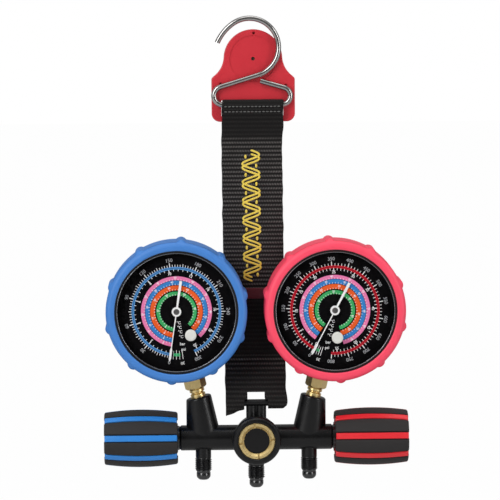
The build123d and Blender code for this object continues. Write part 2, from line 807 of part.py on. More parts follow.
def strap_run(points, radii):
    """One run of webbing seen from its edge, a FilletPolyline of (y, z) points given its thickness."""
    line = FilletPolyline(*points, radius=radii)
    band = trace(line, WEBBING)
    edge_on = Plane(origin=(STRAP_X - STRAP_WIDTH / 2, 0, 0), x_dir=(0, 1, 0), z_dir=(1, 0, 0))
    return extrude(edge_on * band, STRAP_WIDTH)


def strap():
    """Webbing: under the tee bar, up behind the gauges, over the hook's bar and through the magnet plate."""
    bar_loop = WIRE_RADIUS + BAR_SLACK + WEBBING / 2
    tee_loop = TEE_RADIUS + BAR_SLACK + WEBBING / 2
    main_y, flap_y = STRAP_Y, STRAP_Y - WEBBING
    behind_y = PLATE_FRONT + PLATE_THICKNESS + BAR_SLACK + WEBBING / 2
    bar_z = hook_bar_z()
    over, under = bar_z + bar_loop, TEE_Z - tee_loop
    fold_front, fold_back = HOOK_Y - bar_loop, HOOK_Y + bar_loop
    tee_front, tee_back = TEE_Y - tee_loop, TEE_Y + tee_loop
    loop_end = [
        (main_y + WEBBING, 190),
        (main_y + WEBBING, 199),
        (behind_y, PLATE_BOTTOM - 1.3),
        (behind_y, PLATE_BOTTOM + 4),
        (fold_back, bar_z - 1.4),
        (fold_back, over),
        (HOOK_Y, over),
    ]
    main = [
        (HOOK_Y, over),
        (fold_front, over),
        (fold_front, bar_z - 3.9),
        (main_y, 203),
        (main_y, 48.5),
        (tee_back, TEE_Z + 2),
        (tee_back, under),
        (TEE_Y, under),
    ]
    flap = [(TEE_Y, under), (tee_front, under), (tee_front, TEE_Z + 2.5), (flap_y, 50), (flap_y, FLAP_END)]
    near = 0.05
    band = strap_run(loop_end, (3, 2, 2, 1.5, bar_loop - near))
    band += strap_run(main, (bar_loop - near, 4, 8, 8, 3, tee_loop - near))
    band += strap_run(flap, (tee_loop - near, 3, 6))
    arms = block((-7.8, 7.8), (-12, 6), (TEE_Z - 8, TEE_Z + 2.6))
    window = block((-5.7, 5.7), (-12, 6), (TEE_Z, 30.6))
    return band - arms - window


def strap_tab():
    """The stiff pull tab sewn on the end of the return flap."""
    low, high = STRAP_X - STRAP_WIDTH / 2, STRAP_X + STRAP_WIDTH / 2
    front = STRAP_Y - 1.5 * WEBBING
    tab = block((low + 0.3, high - 0.3), (front, front + WEBBING), (FLAP_END, FLAP_END + TAB_HEIGHT))
    return fillet(tab.edges().filter_by(Axis.X).sort_by(Axis.Z)[-2:], 0.5)


def plate_outline():
    """A round head that flares into a wide foot with rounded corners."""
    flare_z, waist = PLATE_SHOULDER + PLATE_HALF - FLARE_HALF, (21.1, 242.3)
    neck_half = math.sqrt(HEAD_RADIUS**2 - (NECK_Z - HEAD_Z) ** 2)
    side = [
        Line((PLATE_HALF, PLATE_BOTTOM), (PLATE_HALF, PLATE_SHOULDER)),
        Line((PLATE_HALF, PLATE_SHOULDER), (FLARE_HALF, flare_z)),
        ThreePointArc((FLARE_HALF, flare_z), waist, (neck_half, NECK_Z)),
    ]
    head = ThreePointArc((neck_half, NECK_Z), (0, HEAD_Z + HEAD_RADIUS), (-neck_half, NECK_Z))
    bottom = Line((-PLATE_HALF, PLATE_BOTTOM), (PLATE_HALF, PLATE_BOTTOM))
    outline = make_face([bottom, *side, head, *[mirror(edge, about=Plane.YZ) for edge in side]])
    outline = fillet(outline.vertices().group_by(Axis.Y)[0], 5.5)
    return fillet(outline.vertices().filter_by(lambda v: abs(v.Y - PLATE_SHOULDER) < 0.1), 2.0)


def hanger_plate():
    """The moulded plate: recessed round panel, strap slot, rivet hole and three small blind holes."""
    slot_half, slot_low, slot_high = STRAP_WIDTH / 2 + 0.4, 210.2, 221.0
    plate = plate_y(plate_outline(), PLATE_FRONT, PLATE_THICKNESS)
    plate = fillet(plate.faces().sort_by(Axis.Y)[0].edges(), 0.7)
    plate -= rod_y(PANEL_RADIUS, PLATE_FRONT - 1, PLATE_FRONT + PANEL_DEPTH, 0, HEAD_Z)
    slot = Location((STRAP_X, (slot_low + slot_high) / 2)) * RectangleRounded(
        2 * slot_half, slot_high - slot_low, 0.8
    )
    plate -= plate_y(slot, PLATE_FRONT - 1, PLATE_THICKNESS + 2)
    plate -= rod_y(RIVET_RADIUS, PLATE_FRONT, PLATE_FRONT + PLATE_THICKNESS + 1, 0, HEAD_Z)
    for x, z in ((0.5, 264.9), (-21.4, 231.8), (21.4, 230.6)):
        plate -= rod_y(0.9, PLATE_FRONT - 1, PLATE_FRONT + PLATE_THICKNESS - 0.5, x, z)
    return plate


def magnet_cup():
    back = PLATE_FRONT + PLATE_THICKNESS
    cup = chamfer(rod_y(CUP_RADIUS, back, back + CUP_DEPTH, 0, HEAD_Z).edges().sort_by(Axis.Y)[0], 0.8)
    hollow = rod_y(CUP_RADIUS - CUP_WALL, back + CUP_WALL, back + CUP_DEPTH, 0, HEAD_Z)
    return cup - hollow - rod_y(RIVET_RADIUS, back - 1, back + 3, 0, HEAD_Z)


def magnet_ring():
    floor = PLATE_FRONT + PLATE_THICKNESS + CUP_WALL
    end = PLATE_FRONT + PLATE_THICKNESS + CUP_DEPTH
    ring = rod_y(CUP_RADIUS - CUP_WALL, floor, end, 0, HEAD_Z) - rod_y(4.6, floor, end, 0, HEAD_Z)
    return chamfer(ring.edges().sort_by(Axis.Y)[-1], 0.5)


def magnet_rivet():
    """A pressed rivet, sunk under the panel's face, with a spread head inside the magnet."""
    front, floor, head = PLATE_FRONT + PANEL_DEPTH + 0.9, PLATE_FRONT + PLATE_THICKNESS + CUP_WALL, 3.2
    rivet = turned_y(
        [
            (0, front + 0.4),
            (RIVET_RADIUS - 0.5, front + 0.4),
            (RIVET_RADIUS, front),
            (RIVET_RADIUS, floor),
            (head, floor),
            (head, floor + 0.6),
            (head - 0.5, floor + 1.1),
            (0, floor + 1.1),
        ]
    )
    return Location((0, 0, HEAD_Z)) * rivet


def parts_of_manifold():
    side_shank, centre_shank = 5.8, 5.0
    return {
        "manifold_body": manifold_body(),
        "tee_bar": tee_bar(),
        "low_port": flare_port(-PORT_X, SIDE_PORT_TOP, side_shank),
        "high_port": flare_port(PORT_X, SIDE_PORT_TOP, side_shank),
        "centre_port": flare_port(0, CENTRE_PORT_TOP, centre_shank),
        "sight_ring": sight_ring(),
        "sight_glass": sight_glass(),
        "sight_seal": sight_seal(),
    }


def parts_of_valve(name, side, first_rib):
    pieces = {
        "stem": stem(),
        "bonnet": bonnet(),
        "stem_seal": stem_seal(),
        "piston": piston(),
        "knob_core": knob_core(first_rib),
        "knob_grip": knob_grip(first_rib),
        "knob_cap": knob_cap(),
        "knob_screw": knob_screw(),
    }
    return {f"{name}_{piece}": on_side(shape, side) for piece, shape in pieces.items()}


def parts_of_gauge(name, side, pointer_angle):
    pieces = {
        "boot": boot(),
        "case": case(),
        "bezel": bezel(),
        "lens": lens(),
        "lens_plug": lens_plug(),
        "lens_seal": lens_seal(),
        "dial": dial(),
        "sector": sector(),
        "link": link(),
        "bourdon_tube": bourdon_tube(),
        "movement_frame": movement_frame(),
        "socket": gauge_socket(),
        "pinion": pinion(),
    }
    placed = {f"{name}_{piece}": in_gauge(shape, side) for piece, shape in pieces.items()}
    placed[f"{name}_pointer"] = on_pointer(pointer(), side, pointer_angle)
    return placed


def parts_of_hanger():
    return {
        "hook": hook(),
        "strap": strap(),
        "strap_tab": strap_tab(),
        "hanger_plate": hanger_plate(),
        "magnet_cup": magnet_cup(),
        "magnet_ring": magnet_ring(),
        "magnet_rivet": magnet_rivet(),
    }


def main():
    os.makedirs("parts", exist_ok=True)
    pieces = parts_of_manifold() | parts_of_hanger()
    pieces |= parts_of_valve("low", SIDES["low"], LOW_RIB_ANGLE)
    pieces |= parts_of_valve("high", SIDES["high"], HIGH_RIB_ANGLE)
    pieces |= parts_of_gauge("low", SIDES["low"], LOW_POINTER_ANGLE)
    pieces |= parts_of_gauge("high", SIDES["high"], HIGH_POINTER_ANGLE)
    for node, shape in pieces.items():
        export_step(FRAME * shape, f"parts/{node}.step")


if __name__ == "__main__":
    main()
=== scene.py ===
"""Dresses a two-gauge refrigerant manifold: boots, printed dials, strap, knobs, threads and finishes.

Lengths inside the shape functions are in millimetres, in three frames:
the bar frame (X along the bar, Y away from the reader, Z up), a gauge's own frame (its stem pointing down),
and a dial's frame (the dial centre, Z straight up). Each frame's matrix turns them into the model's metres.
"""

import json
import math

import bmesh
import bpy
from bpy.props import FloatProperty, FloatVectorProperty, IntProperty, PointerProperty
from mathutils import Matrix, Vector, noise


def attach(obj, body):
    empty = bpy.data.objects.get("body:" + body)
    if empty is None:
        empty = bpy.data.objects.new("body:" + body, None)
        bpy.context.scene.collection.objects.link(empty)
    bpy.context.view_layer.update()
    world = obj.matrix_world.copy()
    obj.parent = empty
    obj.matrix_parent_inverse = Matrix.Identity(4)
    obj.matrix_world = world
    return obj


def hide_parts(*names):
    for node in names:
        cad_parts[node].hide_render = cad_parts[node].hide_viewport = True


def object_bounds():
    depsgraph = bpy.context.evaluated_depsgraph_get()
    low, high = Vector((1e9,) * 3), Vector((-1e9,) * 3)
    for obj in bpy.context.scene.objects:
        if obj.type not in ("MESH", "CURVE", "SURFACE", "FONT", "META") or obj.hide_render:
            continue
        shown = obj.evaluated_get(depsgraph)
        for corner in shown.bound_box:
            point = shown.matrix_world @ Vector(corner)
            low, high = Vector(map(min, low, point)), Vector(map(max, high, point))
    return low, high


bl_info = {
    "name": "Hanging refrigerant manifold",
    "version": (1, 0, 0),
    "blender": (4, 5, 0),
    "location": "View3D > Sidebar > Manifold",
    "description": "Builds the visible pieces and finishes of a two-gauge refrigerant manifold",
    "category": "Object",
}

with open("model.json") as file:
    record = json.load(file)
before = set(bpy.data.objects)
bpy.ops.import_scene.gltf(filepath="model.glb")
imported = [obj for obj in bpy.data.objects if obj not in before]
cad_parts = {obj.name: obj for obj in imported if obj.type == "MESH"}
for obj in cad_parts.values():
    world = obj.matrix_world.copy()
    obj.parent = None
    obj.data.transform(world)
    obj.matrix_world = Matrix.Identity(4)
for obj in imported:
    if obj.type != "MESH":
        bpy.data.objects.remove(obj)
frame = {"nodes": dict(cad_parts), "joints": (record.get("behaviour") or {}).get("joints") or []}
CAD_LOW, CAD_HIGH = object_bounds()

MM = 0.001
JOINTS = {joint["name"]: joint for joint in frame["joints"]}
SIDES = {"low": -1, "high": 1}
BAR_MIDDLE = Vector(JOINTS["high_knob_turn"]["pos_m"])
DIAL_MIDDLE = {name: Vector(JOINTS[f"{name}_pointer_turn"]["pos_m"]) for name in SIDES}
TEE_MIDDLE = (Vector(JOINTS["manifold_swing"]["pos_m"]) - BAR_MIDDLE) / MM
HOOK_MIDDLE = (Vector(JOINTS["strap_swing"]["pos_m"]) - BAR_MIDDLE) / MM
TOWER_TILT = math.radians(13.6)
MAIN_Y, FLAP_Y = 14.75, 13.25  # depths of the strap's main run and of its return flap
CREASE, STRAP_CREASE, THREAD_CREASE = 34, 60, 50  # edges sharper than this many degrees aren't smoothed

BAR_FRAME = Matrix.Translation(BAR_MIDDLE) @ Matrix.Scale(MM, 4)


def dial_frame(name):
    """A dial's frame: millimetres about its centre, Z straight up."""
    return Matrix.Translation(DIAL_MIDDLE[name]) @ Matrix.Scale(MM, 4)


def gauge_frame(name):
    """A gauge's frame: as the dial's, but turned with the tilted stem."""
    return dial_frame(name) @ Matrix.Rotation(SIDES[name] * TOWER_TILT, 4, "Y")


def screen(red, green, blue):
    """A colour given as 0 to 255 screen values, as the linear values that shaders take."""
    shares = [value / 255 for value in (red, green, blue)]
    return tuple(share / 12.92 if share <= 0.04045 else ((share + 0.055) / 1.055) ** 2.4 for share in shares)


# ---- properties ----


def length(name, description, millimetres):
    return FloatProperty(
        name=name, description=description, default=millimetres * MM, min=0, unit="LENGTH", precision=5
    )


def colour(name, description, red, green, blue):
    shown = screen(red, green, blue)
    return FloatVectorProperty(
        name=name, description=description, default=shown, min=0, max=1, subtype="COLOR", size=3
    )


class BootSizes(bpy.types.PropertyGroup):
    """Sizes of the rubber boot round each gauge."""

    radius: length("Radius", "Outer radius of the band", 46.0)
    opening: length("Opening", "Radius of the front opening", 40.3)
    inner: length("Inner radius", "Radius of the pocket that holds the case", 42.3)
    back_opening: length("Back opening", "Radius of the opening behind", 31.0)
    front: length("Front", "How far the front edge lies before the stem's axis", 20.0)
    back: length("Back", "How far the back lies behind the stem's axis", 12.0)
    lug_radius: length("Lug radius", "Radius of a grip lug", 3.1)
    lug_out: length("Lug distance", "Distance of a lug's own centre from the gauge's centre", 44.4)
    lugs: IntProperty(name="Lugs", description="Number of grip lugs", default=10, min=3, max=24)


class StrapSizes(bpy.types.PropertyGroup):
    """Sizes of the hanging strap."""

    width: length("Width", "Width of the webbing", 40.0)
    thickness: length("Thickness", "Thickness of the webbing", 1.5)
    rib_pitch: length("Rib pitch", "Distance between two woven ribs", 2.75)
    rib_height: length("Rib height", "Height of a rib over the groove beside it", 0.42)
    droop: length("Droop", "How far the slack corner of the lower fold hangs down", 4.9)
    lean: length("Lean", "How far the foot of the strap stands to the right of its top", 1.5)
    motif_width: length("Motif width", "Width of the embroidered motif", 12.4)
    motif_thread: length("Motif line", "Width of one embroidered line", 1.35)


class DialSizes(bpy.types.PropertyGroup):
    """Sizes of a dial's printing."""

    scale_radius: length("Scale radius", "Middle radius of the coloured scale line", 28.4)
    scale_width: length("Scale width", "Width of the coloured double scale line", 1.7)
    number_radius: length("Number radius", "Radius of the outer numbers", 33.4)
    number_height: length("Number height", "Height of the outer numbers", 2.5)
    inner_number_radius: length("Inner number radius", "Radius of the inner numbers", 25.0)
    inner_number_height: length("Inner number height", "Height of the inner numbers", 1.8)
    ink: length("Ink height", "How far the printing stands proud of the plate", 0.04)


class KnobSizes(bpy.types.PropertyGroup):
    """Sizes of a valve knob."""

    start: length("Start", "Distance of the inner end from the middle of the bar", 51.5)
    end: length("End", "Distance of the outer end from the middle of the bar", 100.0)
    middle_radius: length("Middle radius", "Largest radius of the barrel", 19.0)
    end_radius: length("End radius", "Radius of the barrel at its ends", 17.15)
    pad: length("Pad thickness", "Thickness of a rubber pad", 2.6)
    rib: length("Rib width", "Width of a coloured rib", 4.0)
    groove: length("Groove width", "Gap beside a rib", 0.7)
    ribs: IntProperty(name="Ribs", description="Number of coloured ribs", default=8, min=3, max=18)


class PortSizes(bpy.types.PropertyGroup):
    """Sizes of a flare port."""

    radius: length("Thread radius", "Outer radius of the thread", 5.55)
    pitch: length("Pitch", "Pitch of the thread, 20 turns to the inch", 1.27)
    depth: length("Thread depth", "Depth of the thread", 0.85)
    length: length("Thread length", "Length of the threaded part", 9.0)


class Colours(bpy.types.PropertyGroup):
    """Colours of the coloured pieces."""

    boot_low: colour("Low boot", "Rubber of the low-pressure boot", 60, 124, 200)
    boot_high: colour("High boot", "Rubber of the high-pressure boot", 250, 70, 98)
    knob_low: colour("Low knob", "Ribs of the low-pressure knob", 42, 128, 208)
    knob_high: colour("High knob", "Ribs of the high-pressure knob", 226, 38, 48)
    plate: colour("Plate", "Moulded magnet plate", 200, 42, 54)
    # The crown colour is a painted highlight on the black yarn of the strap.
    webbing: colour("Webbing", "Crowns of the strap's ribs", 92, 89, 87)
    tab: colour("Tab", "Pull tab on the strap's flap", 84, 14, 28)
    gold: colour("Gold thread", "Embroidery thread", 252, 208, 74)
    brass: colour("Brass", "Turned brass", 234, 208, 146)
    ring_outer: colour("Outer ring", "Outermost printed ring", 240, 128, 180)
    ring_second: colour("Second ring", "Second printed ring", 52, 132, 206)
    ring_third: colour("Third ring", "Third printed ring", 240, 96, 36)
    ring_inner: colour("Inner ring", "Innermost printed ring", 60, 176, 100)
    scale_low: colour("Low scale", "Scale line of the low-pressure dial", 84, 152, 216)
    scale_high: colour("High scale", "Scale line of the high-pressure dial", 206, 24, 44)


class StageSizes(bpy.types.PropertyGroup):
    """Sizes of the stage round the object."""

    drop: length("Floor drop", "How far the floor lies under the hook's seat", 520.0)
    sky: FloatProperty(
        name="Sky", description="Strength of the even light from all sides", default=0.62, min=0
    )


class ManifoldSet(bpy.types.PropertyGroup):
    """Everything that a user would change, in one place."""

    boot: PointerProperty(type=BootSizes)
    strap: PointerProperty(type=StrapSizes)
    dial: PointerProperty(type=DialSizes)
    knob: PointerProperty(type=KnobSizes)
    port: PointerProperty(type=PortSizes)
    colours: PointerProperty(type=Colours)
    stage: PointerProperty(type=StageSizes)


def own_keys(held):
    """The names of a group's own properties."""
    return [key for key in held.bl_rna.properties.keys() if key not in ("rna_type", "name")]


def sizes(group):
    """One group's lengths in millimetres and its counts as they are, by name."""
    held = getattr(bpy.context.scene.manifold_set, group)
    named = {key: getattr(held, key) for key in own_keys(held)}
    return {key: value / MM if isinstance(value, float) else value for key, value in named.items()}


# ---- shapes ----


def linked(name, data):
    """A new object, in the scene."""
    thing = bpy.data.objects.new(name, data)
    bpy.context.scene.collection.objects.link(thing)
    return thing


class Shape:
    """Points and faces of one piece, with the number of the finish on each face."""

    def __init__(self):
        self.points, self.faces, self.finishes = [], [], []

    def add(self, points, faces, finish=0):
        base = len(self.points)
        self.points += [Vector(point) for point in points]
        self.faces += [[base + index for index in face] for face in faces]
        self.finishes += [finish] * len(faces)

    def loft(self, rings, finish=0, along=False, capped=False):
        """Join closed rings of equally many points; along joins the last ring to the first."""
        size, count = len(rings[0]), len(rings)
        faces = [
            (
                row * size + spot,
                row * size + (spot + 1) % size,
                (row + 1) % count * size + (spot + 1) % size,
                (row + 1) % count * size + spot,
            )
            for row in range(count if along else count - 1)
            for spot in range(size)
        ]
        if capped:
            faces += [tuple(range(size)), tuple(range((count - 1) * size, count * size))]
        self.add([point for ring in rings for point in ring], faces, finish)

    def turned(self, outline, steps, finish=0):
        """Turn an outline of (radius, y) points about the Y axis."""
        rings = [
            [(radius * math.sin(angle), y, radius * math.cos(angle)) for radius, y in outline]
            for angle in (math.tau * step / steps for step in range(steps))
        ]
        self.loft(rings, finish, along=True)

    def slab(self, outline, front, back, finish=0):
        """A flat piece with an outline of (x, z) points between two depths."""
        self.loft([[(x, y, z) for x, z in outline] for y in (front, back)], finish, capped=True)

    def made(self, name, materials, place, body, crease=CREASE):
        """The finished object on its body: joined points, outward faces, smooth up to the crease angle."""
        mesh = bpy.data.meshes.new(name)
        solid = bmesh.new()
        points = [solid.verts.new(place @ point) for point in self.points]
        for face, finish in zip(self.faces, self.finishes):
            made = solid.faces.new([points[index] for index in face])
            made.material_index, made.smooth = finish, True
        bmesh.ops.remove_doubles(solid, verts=solid.verts, dist=2e-7)
        bmesh.ops.recalc_face_normals(solid, faces=solid.faces)
        solid.to_mesh(mesh)
        solid.free()
        for material in materials:
            mesh.materials.append(material)
        mesh.set_sharp_from_angle(angle=math.radians(crease))
        thing = linked(name, mesh)
        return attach(thing, body)


def softened(outline, steps=4, closed=True):
    """Round the corners of an outline of (u, v, radius) points."""
    rounded, count = [], len(outline)
    for index, (u, v, radius) in enumerate(outline):
        here = Vector((u, v))
        if radius == 0 or not closed and index in (0, count - 1):
            rounded.append(tuple(here))
            continue
        before = (Vector(outline[index - 1][:2]) - here).normalized()
        after = (Vector(outline[(index + 1) % count][:2]) - here).normalized()
        half = before.angle(after) / 2
        reach = radius / math.tan(half)
        centre = here + (before + after).normalized() * (radius / math.sin(half))
        start, end = here + before * reach - centre, here + after * reach - centre
        sweep = start.angle_signed(end)
        for step in range(steps + 1):
            turned = start.copy()
            turned.rotate(Matrix.Rotation(-sweep * step / steps, 2))
            rounded.append(tuple(centre + turned))
    return rounded


def even(line, step):
    """Points at even steps along a line of two-dimensional points, with their directions."""
    line = [Vector(point) for point in line]
    spans = [(b - a).length for a, b in zip(line, line[1:])]
    total = sum(spans)
    count = round(total / step)
    made, index, passed = [], 0, 0.0
    for number in range(count + 1):
        target = min(total * number / count, total - 1e-9)
        while passed + spans[index] < target:
            passed += spans[index]
            index += 1
        share = (target - passed) / spans[index]
        made.append(line[index].lerp(line[index + 1], share))
    ways = [(made[min(i + 1, count)] - made[max(i - 1, 0)]).normalized() for i in range(count + 1)]
    return made, ways, total


def smooth(value):
    """A soft step from 0 to 1."""
    value = max(0.0, min(1.0, value))
    return value * value * (3 - 2 * value)


def cut(thing, *cutters):
    """Take closed shapes out of an object and delete them."""
    for cutter in cutters:
        change = thing.modifiers.new("cut", "BOOLEAN")
        change.operation, change.solver, change.object = "DIFFERENCE", "EXACT", cutter
    bpy.context.view_layer.update()
    graph = bpy.context.evaluated_depsgraph_get()
    mesh = bpy.data.meshes.new_from_object(thing.evaluated_get(graph), depsgraph=graph)
    thing.modifiers.clear()
    thing.data = mesh
    for cutter in cutters:
        bpy.data.objects.remove(cutter)
    mesh.set_sharp_from_angle(angle=math.radians(CREASE))
    return thing


def volume(thing):
    """Volume of a closed piece."""
    solid = bmesh.new()
    solid.from_mesh(thing.data)
    amount = abs(solid.calc_volume())
    solid.free()
    return amount


def box_cutter(x_span, y_span, z_span, place, body):
    """A closed box to cut with."""
    shape = Shape()
    (left, right), (low, high) = x_span, z_span
    shape.slab([(left, low), (right, low), (right, high), (left, high)], *y_span)
    return shape.made("cutter", [], place, body)


def polar(radius, degrees):
    """A dial's (x, z) point at a radius and an angle clockwise from the top."""
    angle = math.radians(degrees)
    return radius * math.sin(angle), radius * math.cos(angle)


# ---- shader maths ----


class Value:
    """A shader socket that can be written in sums."""

    def __init__(self, finish, socket):
        self.finish, self.socket = finish, socket

    def maths(self, operation, *sides):
        return self.finish.node("Math", {"operation": operation}, dict(enumerate(sides)))

    def __add__(self, other):
        return self.maths("ADD", self, other)

    def __sub__(self, other):
        return self.maths("SUBTRACT", self, other)

    def __rsub__(self, other):
        return self.maths("SUBTRACT", other, self)

    def __mul__(self, other):
        return self.maths("MULTIPLY", self, other)

    def __pow__(self, other):
        return self.maths("POWER", self, other)

    __radd__ = __add__
    __rmul__ = __mul__

    def sine(self):
        return self.maths("SINE", self)

    def absolute(self):
        return self.maths("ABSOLUTE", self)

    def over(self, edge, softness):
        """0 under an edge and 1 over it, with a soft step."""
        settings = {"interpolation_type": "SMOOTHSTEP"}
        ends = {"From Min": edge, "From Max": edge + softness}
        return self.finish.node("MapRange", settings, {"Value": self, **ends})


class Nodes:
    """A node tree being made."""

    def __init__(self, tree):
        self.tree = tree

    def node(self, kind, settings=None, inputs=None, output=0):
        """Add a node: its settings first, then the values or links of its sockets."""
        node = self.tree.nodes.new("ShaderNode" + kind)
        for key, value in (settings or {}).items():
            setattr(node, key, value)
        for key, value in (inputs or {}).items():
            self.join(node.inputs[key], value)
        return Value(self, node.outputs[output])

    def join(self, socket, value):
        if isinstance(value, Value):
            self.tree.links.new(value.socket, socket)
        else:
            socket.default_value = value


class Finish(Nodes):
    """A material being made: its nodes, and its Principled shader's sockets."""

    def __init__(self, name, colour, roughness, **constants):
        self.material = bpy.data.materials.new(name)
        self.material.use_nodes = True
        super().__init__(self.material.node_tree)
        self.shader = self.tree.nodes["Principled BSDF"]
        self.colour, self.roughness = (*colour, 1.0), roughness
        self.material.diffuse_color = self.colour
        self.feed("Base Color", self.colour)
        self.feed("Roughness", roughness)
        for key, value in constants.items():
            self.feed(key.replace("_", " "), value)

    def feed(self, name, value):
        self.join(self.shader.inputs[name], value)

    def place(self):
        """Positions on the piece, in metres."""
        return self.node("TexCoord", output=3)

    def axes(self):
        """The three coordinates of a position."""
        split = self.node("SeparateXYZ", inputs={"Vector": self.place()})
        return [Value(self, socket) for socket in split.socket.node.outputs]

    def cloud(self, size, detail):
        """Soft noise with blobs of a size in metres, from 0 to 1."""
        return self.node("TexNoise", inputs={"Vector": self.place(), "Scale": 1 / size, "Detail": detail})

    def stretched(self, size, stretch, detail):
        """Soft noise drawn out along one axis, for brushed and turned metal."""
        scale = tuple(1 / (size * share) for share in stretch)
        scaled = self.node("VectorMath", {"operation": "MULTIPLY"}, {0: self.place(), 1: scale})
        return self.node("TexNoise", inputs={"Vector": scaled, "Scale": 1.0, "Detail": detail})

    def tint(self, share, first, second):
        """A mix of two colours or colour sockets."""
        ends = [c if isinstance(c, Value) else (*c[:3], 1.0) for c in (first, second)]
        return self.node("Mix", {"data_type": "RGBA"}, {0: share, 6: ends[0], 7: ends[1]}, output=2)

    def shade(self, share, dark, light):
        """Vary the base colour between two multiples of itself."""
        ends = [[min(1.0, channel * level) for channel in self.colour[:3]] for level in (dark, light)]
        self.feed("Base Color", self.tint(share, *ends))

    def bumps(self, height, depth):
        self.feed("Normal", self.node("Bump", inputs={"Height": height, "Distance": depth, "Strength": 1.0}))


def moulded(name, colour, roughness, grain, depth, **constants):
    """Moulded rubber or plastic: fine grain, faint flow marks and patches that are a little glossier."""
    finish = Finish(name, colour, roughness, **constants)
    patches, fine = finish.cloud(9 * MM, 3), finish.cloud(grain, 3)
    finish.shade(patches * 0.7 + fine * 0.3, 0.9, 1.08)
    finish.feed("Roughness", roughness - 0.06 + 0.12 * patches)
    finish.bumps(fine, depth)
    return finish.material


def coated(name, colour, roughness, **constants):
    """Blasted and coated metal: a very fine skin with soft patches."""
    finish = Finish(name, colour, roughness, **constants)
    skin, patches = finish.cloud(0.35 * MM, 4), finish.cloud(7 * MM, 3)
    finish.shade(patches, 0.7, 1.3)
    finish.feed("Roughness", roughness - 0.07 + 0.14 * patches + 0.04 * skin)
    finish.bumps(skin, 0.012 * MM)
    return finish.material


def machined(name, colour, roughness, stretch, size=0.5 * MM, depth=0.006 * MM):
    """Turned or drawn metal: fine lines along one way and cloudy stains."""
    finish = Finish(name, colour, roughness, Metallic=1.0)
    lines, stains = finish.stretched(size, stretch, 3), finish.cloud(5 * MM, 4)
    finish.shade(stains * 0.65 + lines * 0.35, 0.72, 1.12)
    finish.feed("Roughness", roughness - 0.06 + 0.16 * stains + 0.06 * lines)
    finish.bumps(lines, depth)
    return finish.material


def woven(name, colour, thread, **constants):
    """Plain woven yarn: crossing threads, a soft fuzz and crowns that are lighter than the hollows between
    them.
    """
    finish = Finish(name, colour, 0.82, **constants)
    x, _, z = finish.axes()
    twill = (x * (math.tau / thread)).sine() * (z * (math.tau / thread)).sine() * 0.5 + 0.5
    fuzz = finish.cloud(0.5 * MM, 4)
    finish.shade(twill * 0.5 + fuzz * 0.5, 0.5, 1.6)
    finish.feed("Roughness", 0.74 + 0.2 * fuzz)
    finish.bumps(twill * 0.7 + fuzz * 0.5, 0.12 * MM)
    return finish.material


def ribbed(name, colour, pitch):
    """Heavy webbing: black furrows, flecked crowns painted pale as a highlight, and plain tape at the flap
    and above the slot.
    """
    finish = Finish(name, colour, 0.8, Sheen_Weight=0.04, Specular_IOR_Level=0.12)
    x, _, z = finish.axes()
    level = z - BAR_MIDDLE.z
    rib = (level * (math.tau / pitch)).sine() * 0.5 + 0.5
    turn = (level * (math.pi / pitch)).sine() * 2.2
    fleck_pitch, tape_foot, tape_head, fold, foot_head = 1.75 * MM, 50 * MM, 90 * MM, 193 * MM, 40 * MM
    fleck = (x * (math.tau / fleck_pitch) + turn).sine() * 0.5 + 0.5
    tape = level.over(tape_foot, 4 * MM) * (1 - level.over(tape_head, 3 * MM))
    plain = 1 - (1 - tape) * (1 - level.over(fold, 6 * MM))
    foot = 1 - level.over(foot_head, 14 * MM)
    fuzz, patches = finish.cloud(0.55 * MM, 4), finish.cloud(11 * MM, 3)
    # Painted highlight: the rib crowns are painted paler than the black yarn, less so on the tape and towards
    # the foot.
    crown = (rib ** 1.6) * (0.3 + 0.7 * fleck) * (0.45 + 0.9 * patches)
    pale = crown * (1 - 0.9 * plain) * (1 - 0.8 * foot) + 0.06 * fuzz
    finish.feed("Base Color", finish.tint(pale, screen(13, 12, 12), colour))
    finish.feed("Roughness", 0.66 + 0.25 * fuzz)
    finish.bumps(fleck * rib * (1 - 0.8 * plain) + fuzz * 0.4, 0.14 * MM)
    return finish.material


def sewn(name, colour):
    """Satin-stitched thread: close slanting strands with a soft shine."""
    finish = Finish(name, colour, 0.42, Sheen_Weight=0.3)
    x, _, z = finish.axes()
    strands = ((x + 0.6 * z) * (math.tau / (0.42 * MM))).sine() * 0.5 + 0.5
    fuzz = finish.cloud(0.4 * MM, 3)
    finish.shade(strands * 0.6 + fuzz * 0.4, 0.7, 1.3)
    finish.bumps(strands, 0.09 * MM)
    return finish.material


def printed(name, colour, gloss=0.2):
    """Screen-printed ink: matt, with a faint uneven coat."""
    finish = Finish(name, colour, 0.6, Specular_IOR_Level=gloss)
    coat = finish.cloud(0.8 * MM, 3)
    finish.shade(coat, 0.9, 1.06)
    finish.feed("Roughness", 0.5 + 0.2 * coat)
    finish.bumps(coat, 0.004 * MM)
    return finish.material


def clear(name, index, roughness):
    """A thin clear sheet: mirror-like only where it is seen at a slant, with faint smears."""
    finish = Finish(name, (1, 1, 1), roughness, Metallic=1.0)
    smear = finish.cloud(14 * MM, 3)
    facing = ((index - 1) / (index + 1)) ** 2
    gloss = finish.node("Fresnel", inputs={"IOR": index}) - facing
    gloss = gloss.maths("MAXIMUM", gloss, 0.0)  # nothing left where it is faced
    finish.feed("Alpha", gloss * (0.85 + 0.3 * smear))
    finish.feed("Roughness", roughness + 0.05 * smear)
    return finish.material


def dark_glass(name):
    """The sight glass over its black chamber: deep, glossy, with faint dust."""
    finish = Finish(name, screen(8, 7, 8), 0.06, Specular_IOR_Level=0.3)
    dust = finish.cloud(0.9 * MM, 5)
    finish.shade(dust, 0.6, 1.5)
    finish.feed("Roughness", 0.03 + 0.12 * dust)
    return finish.material


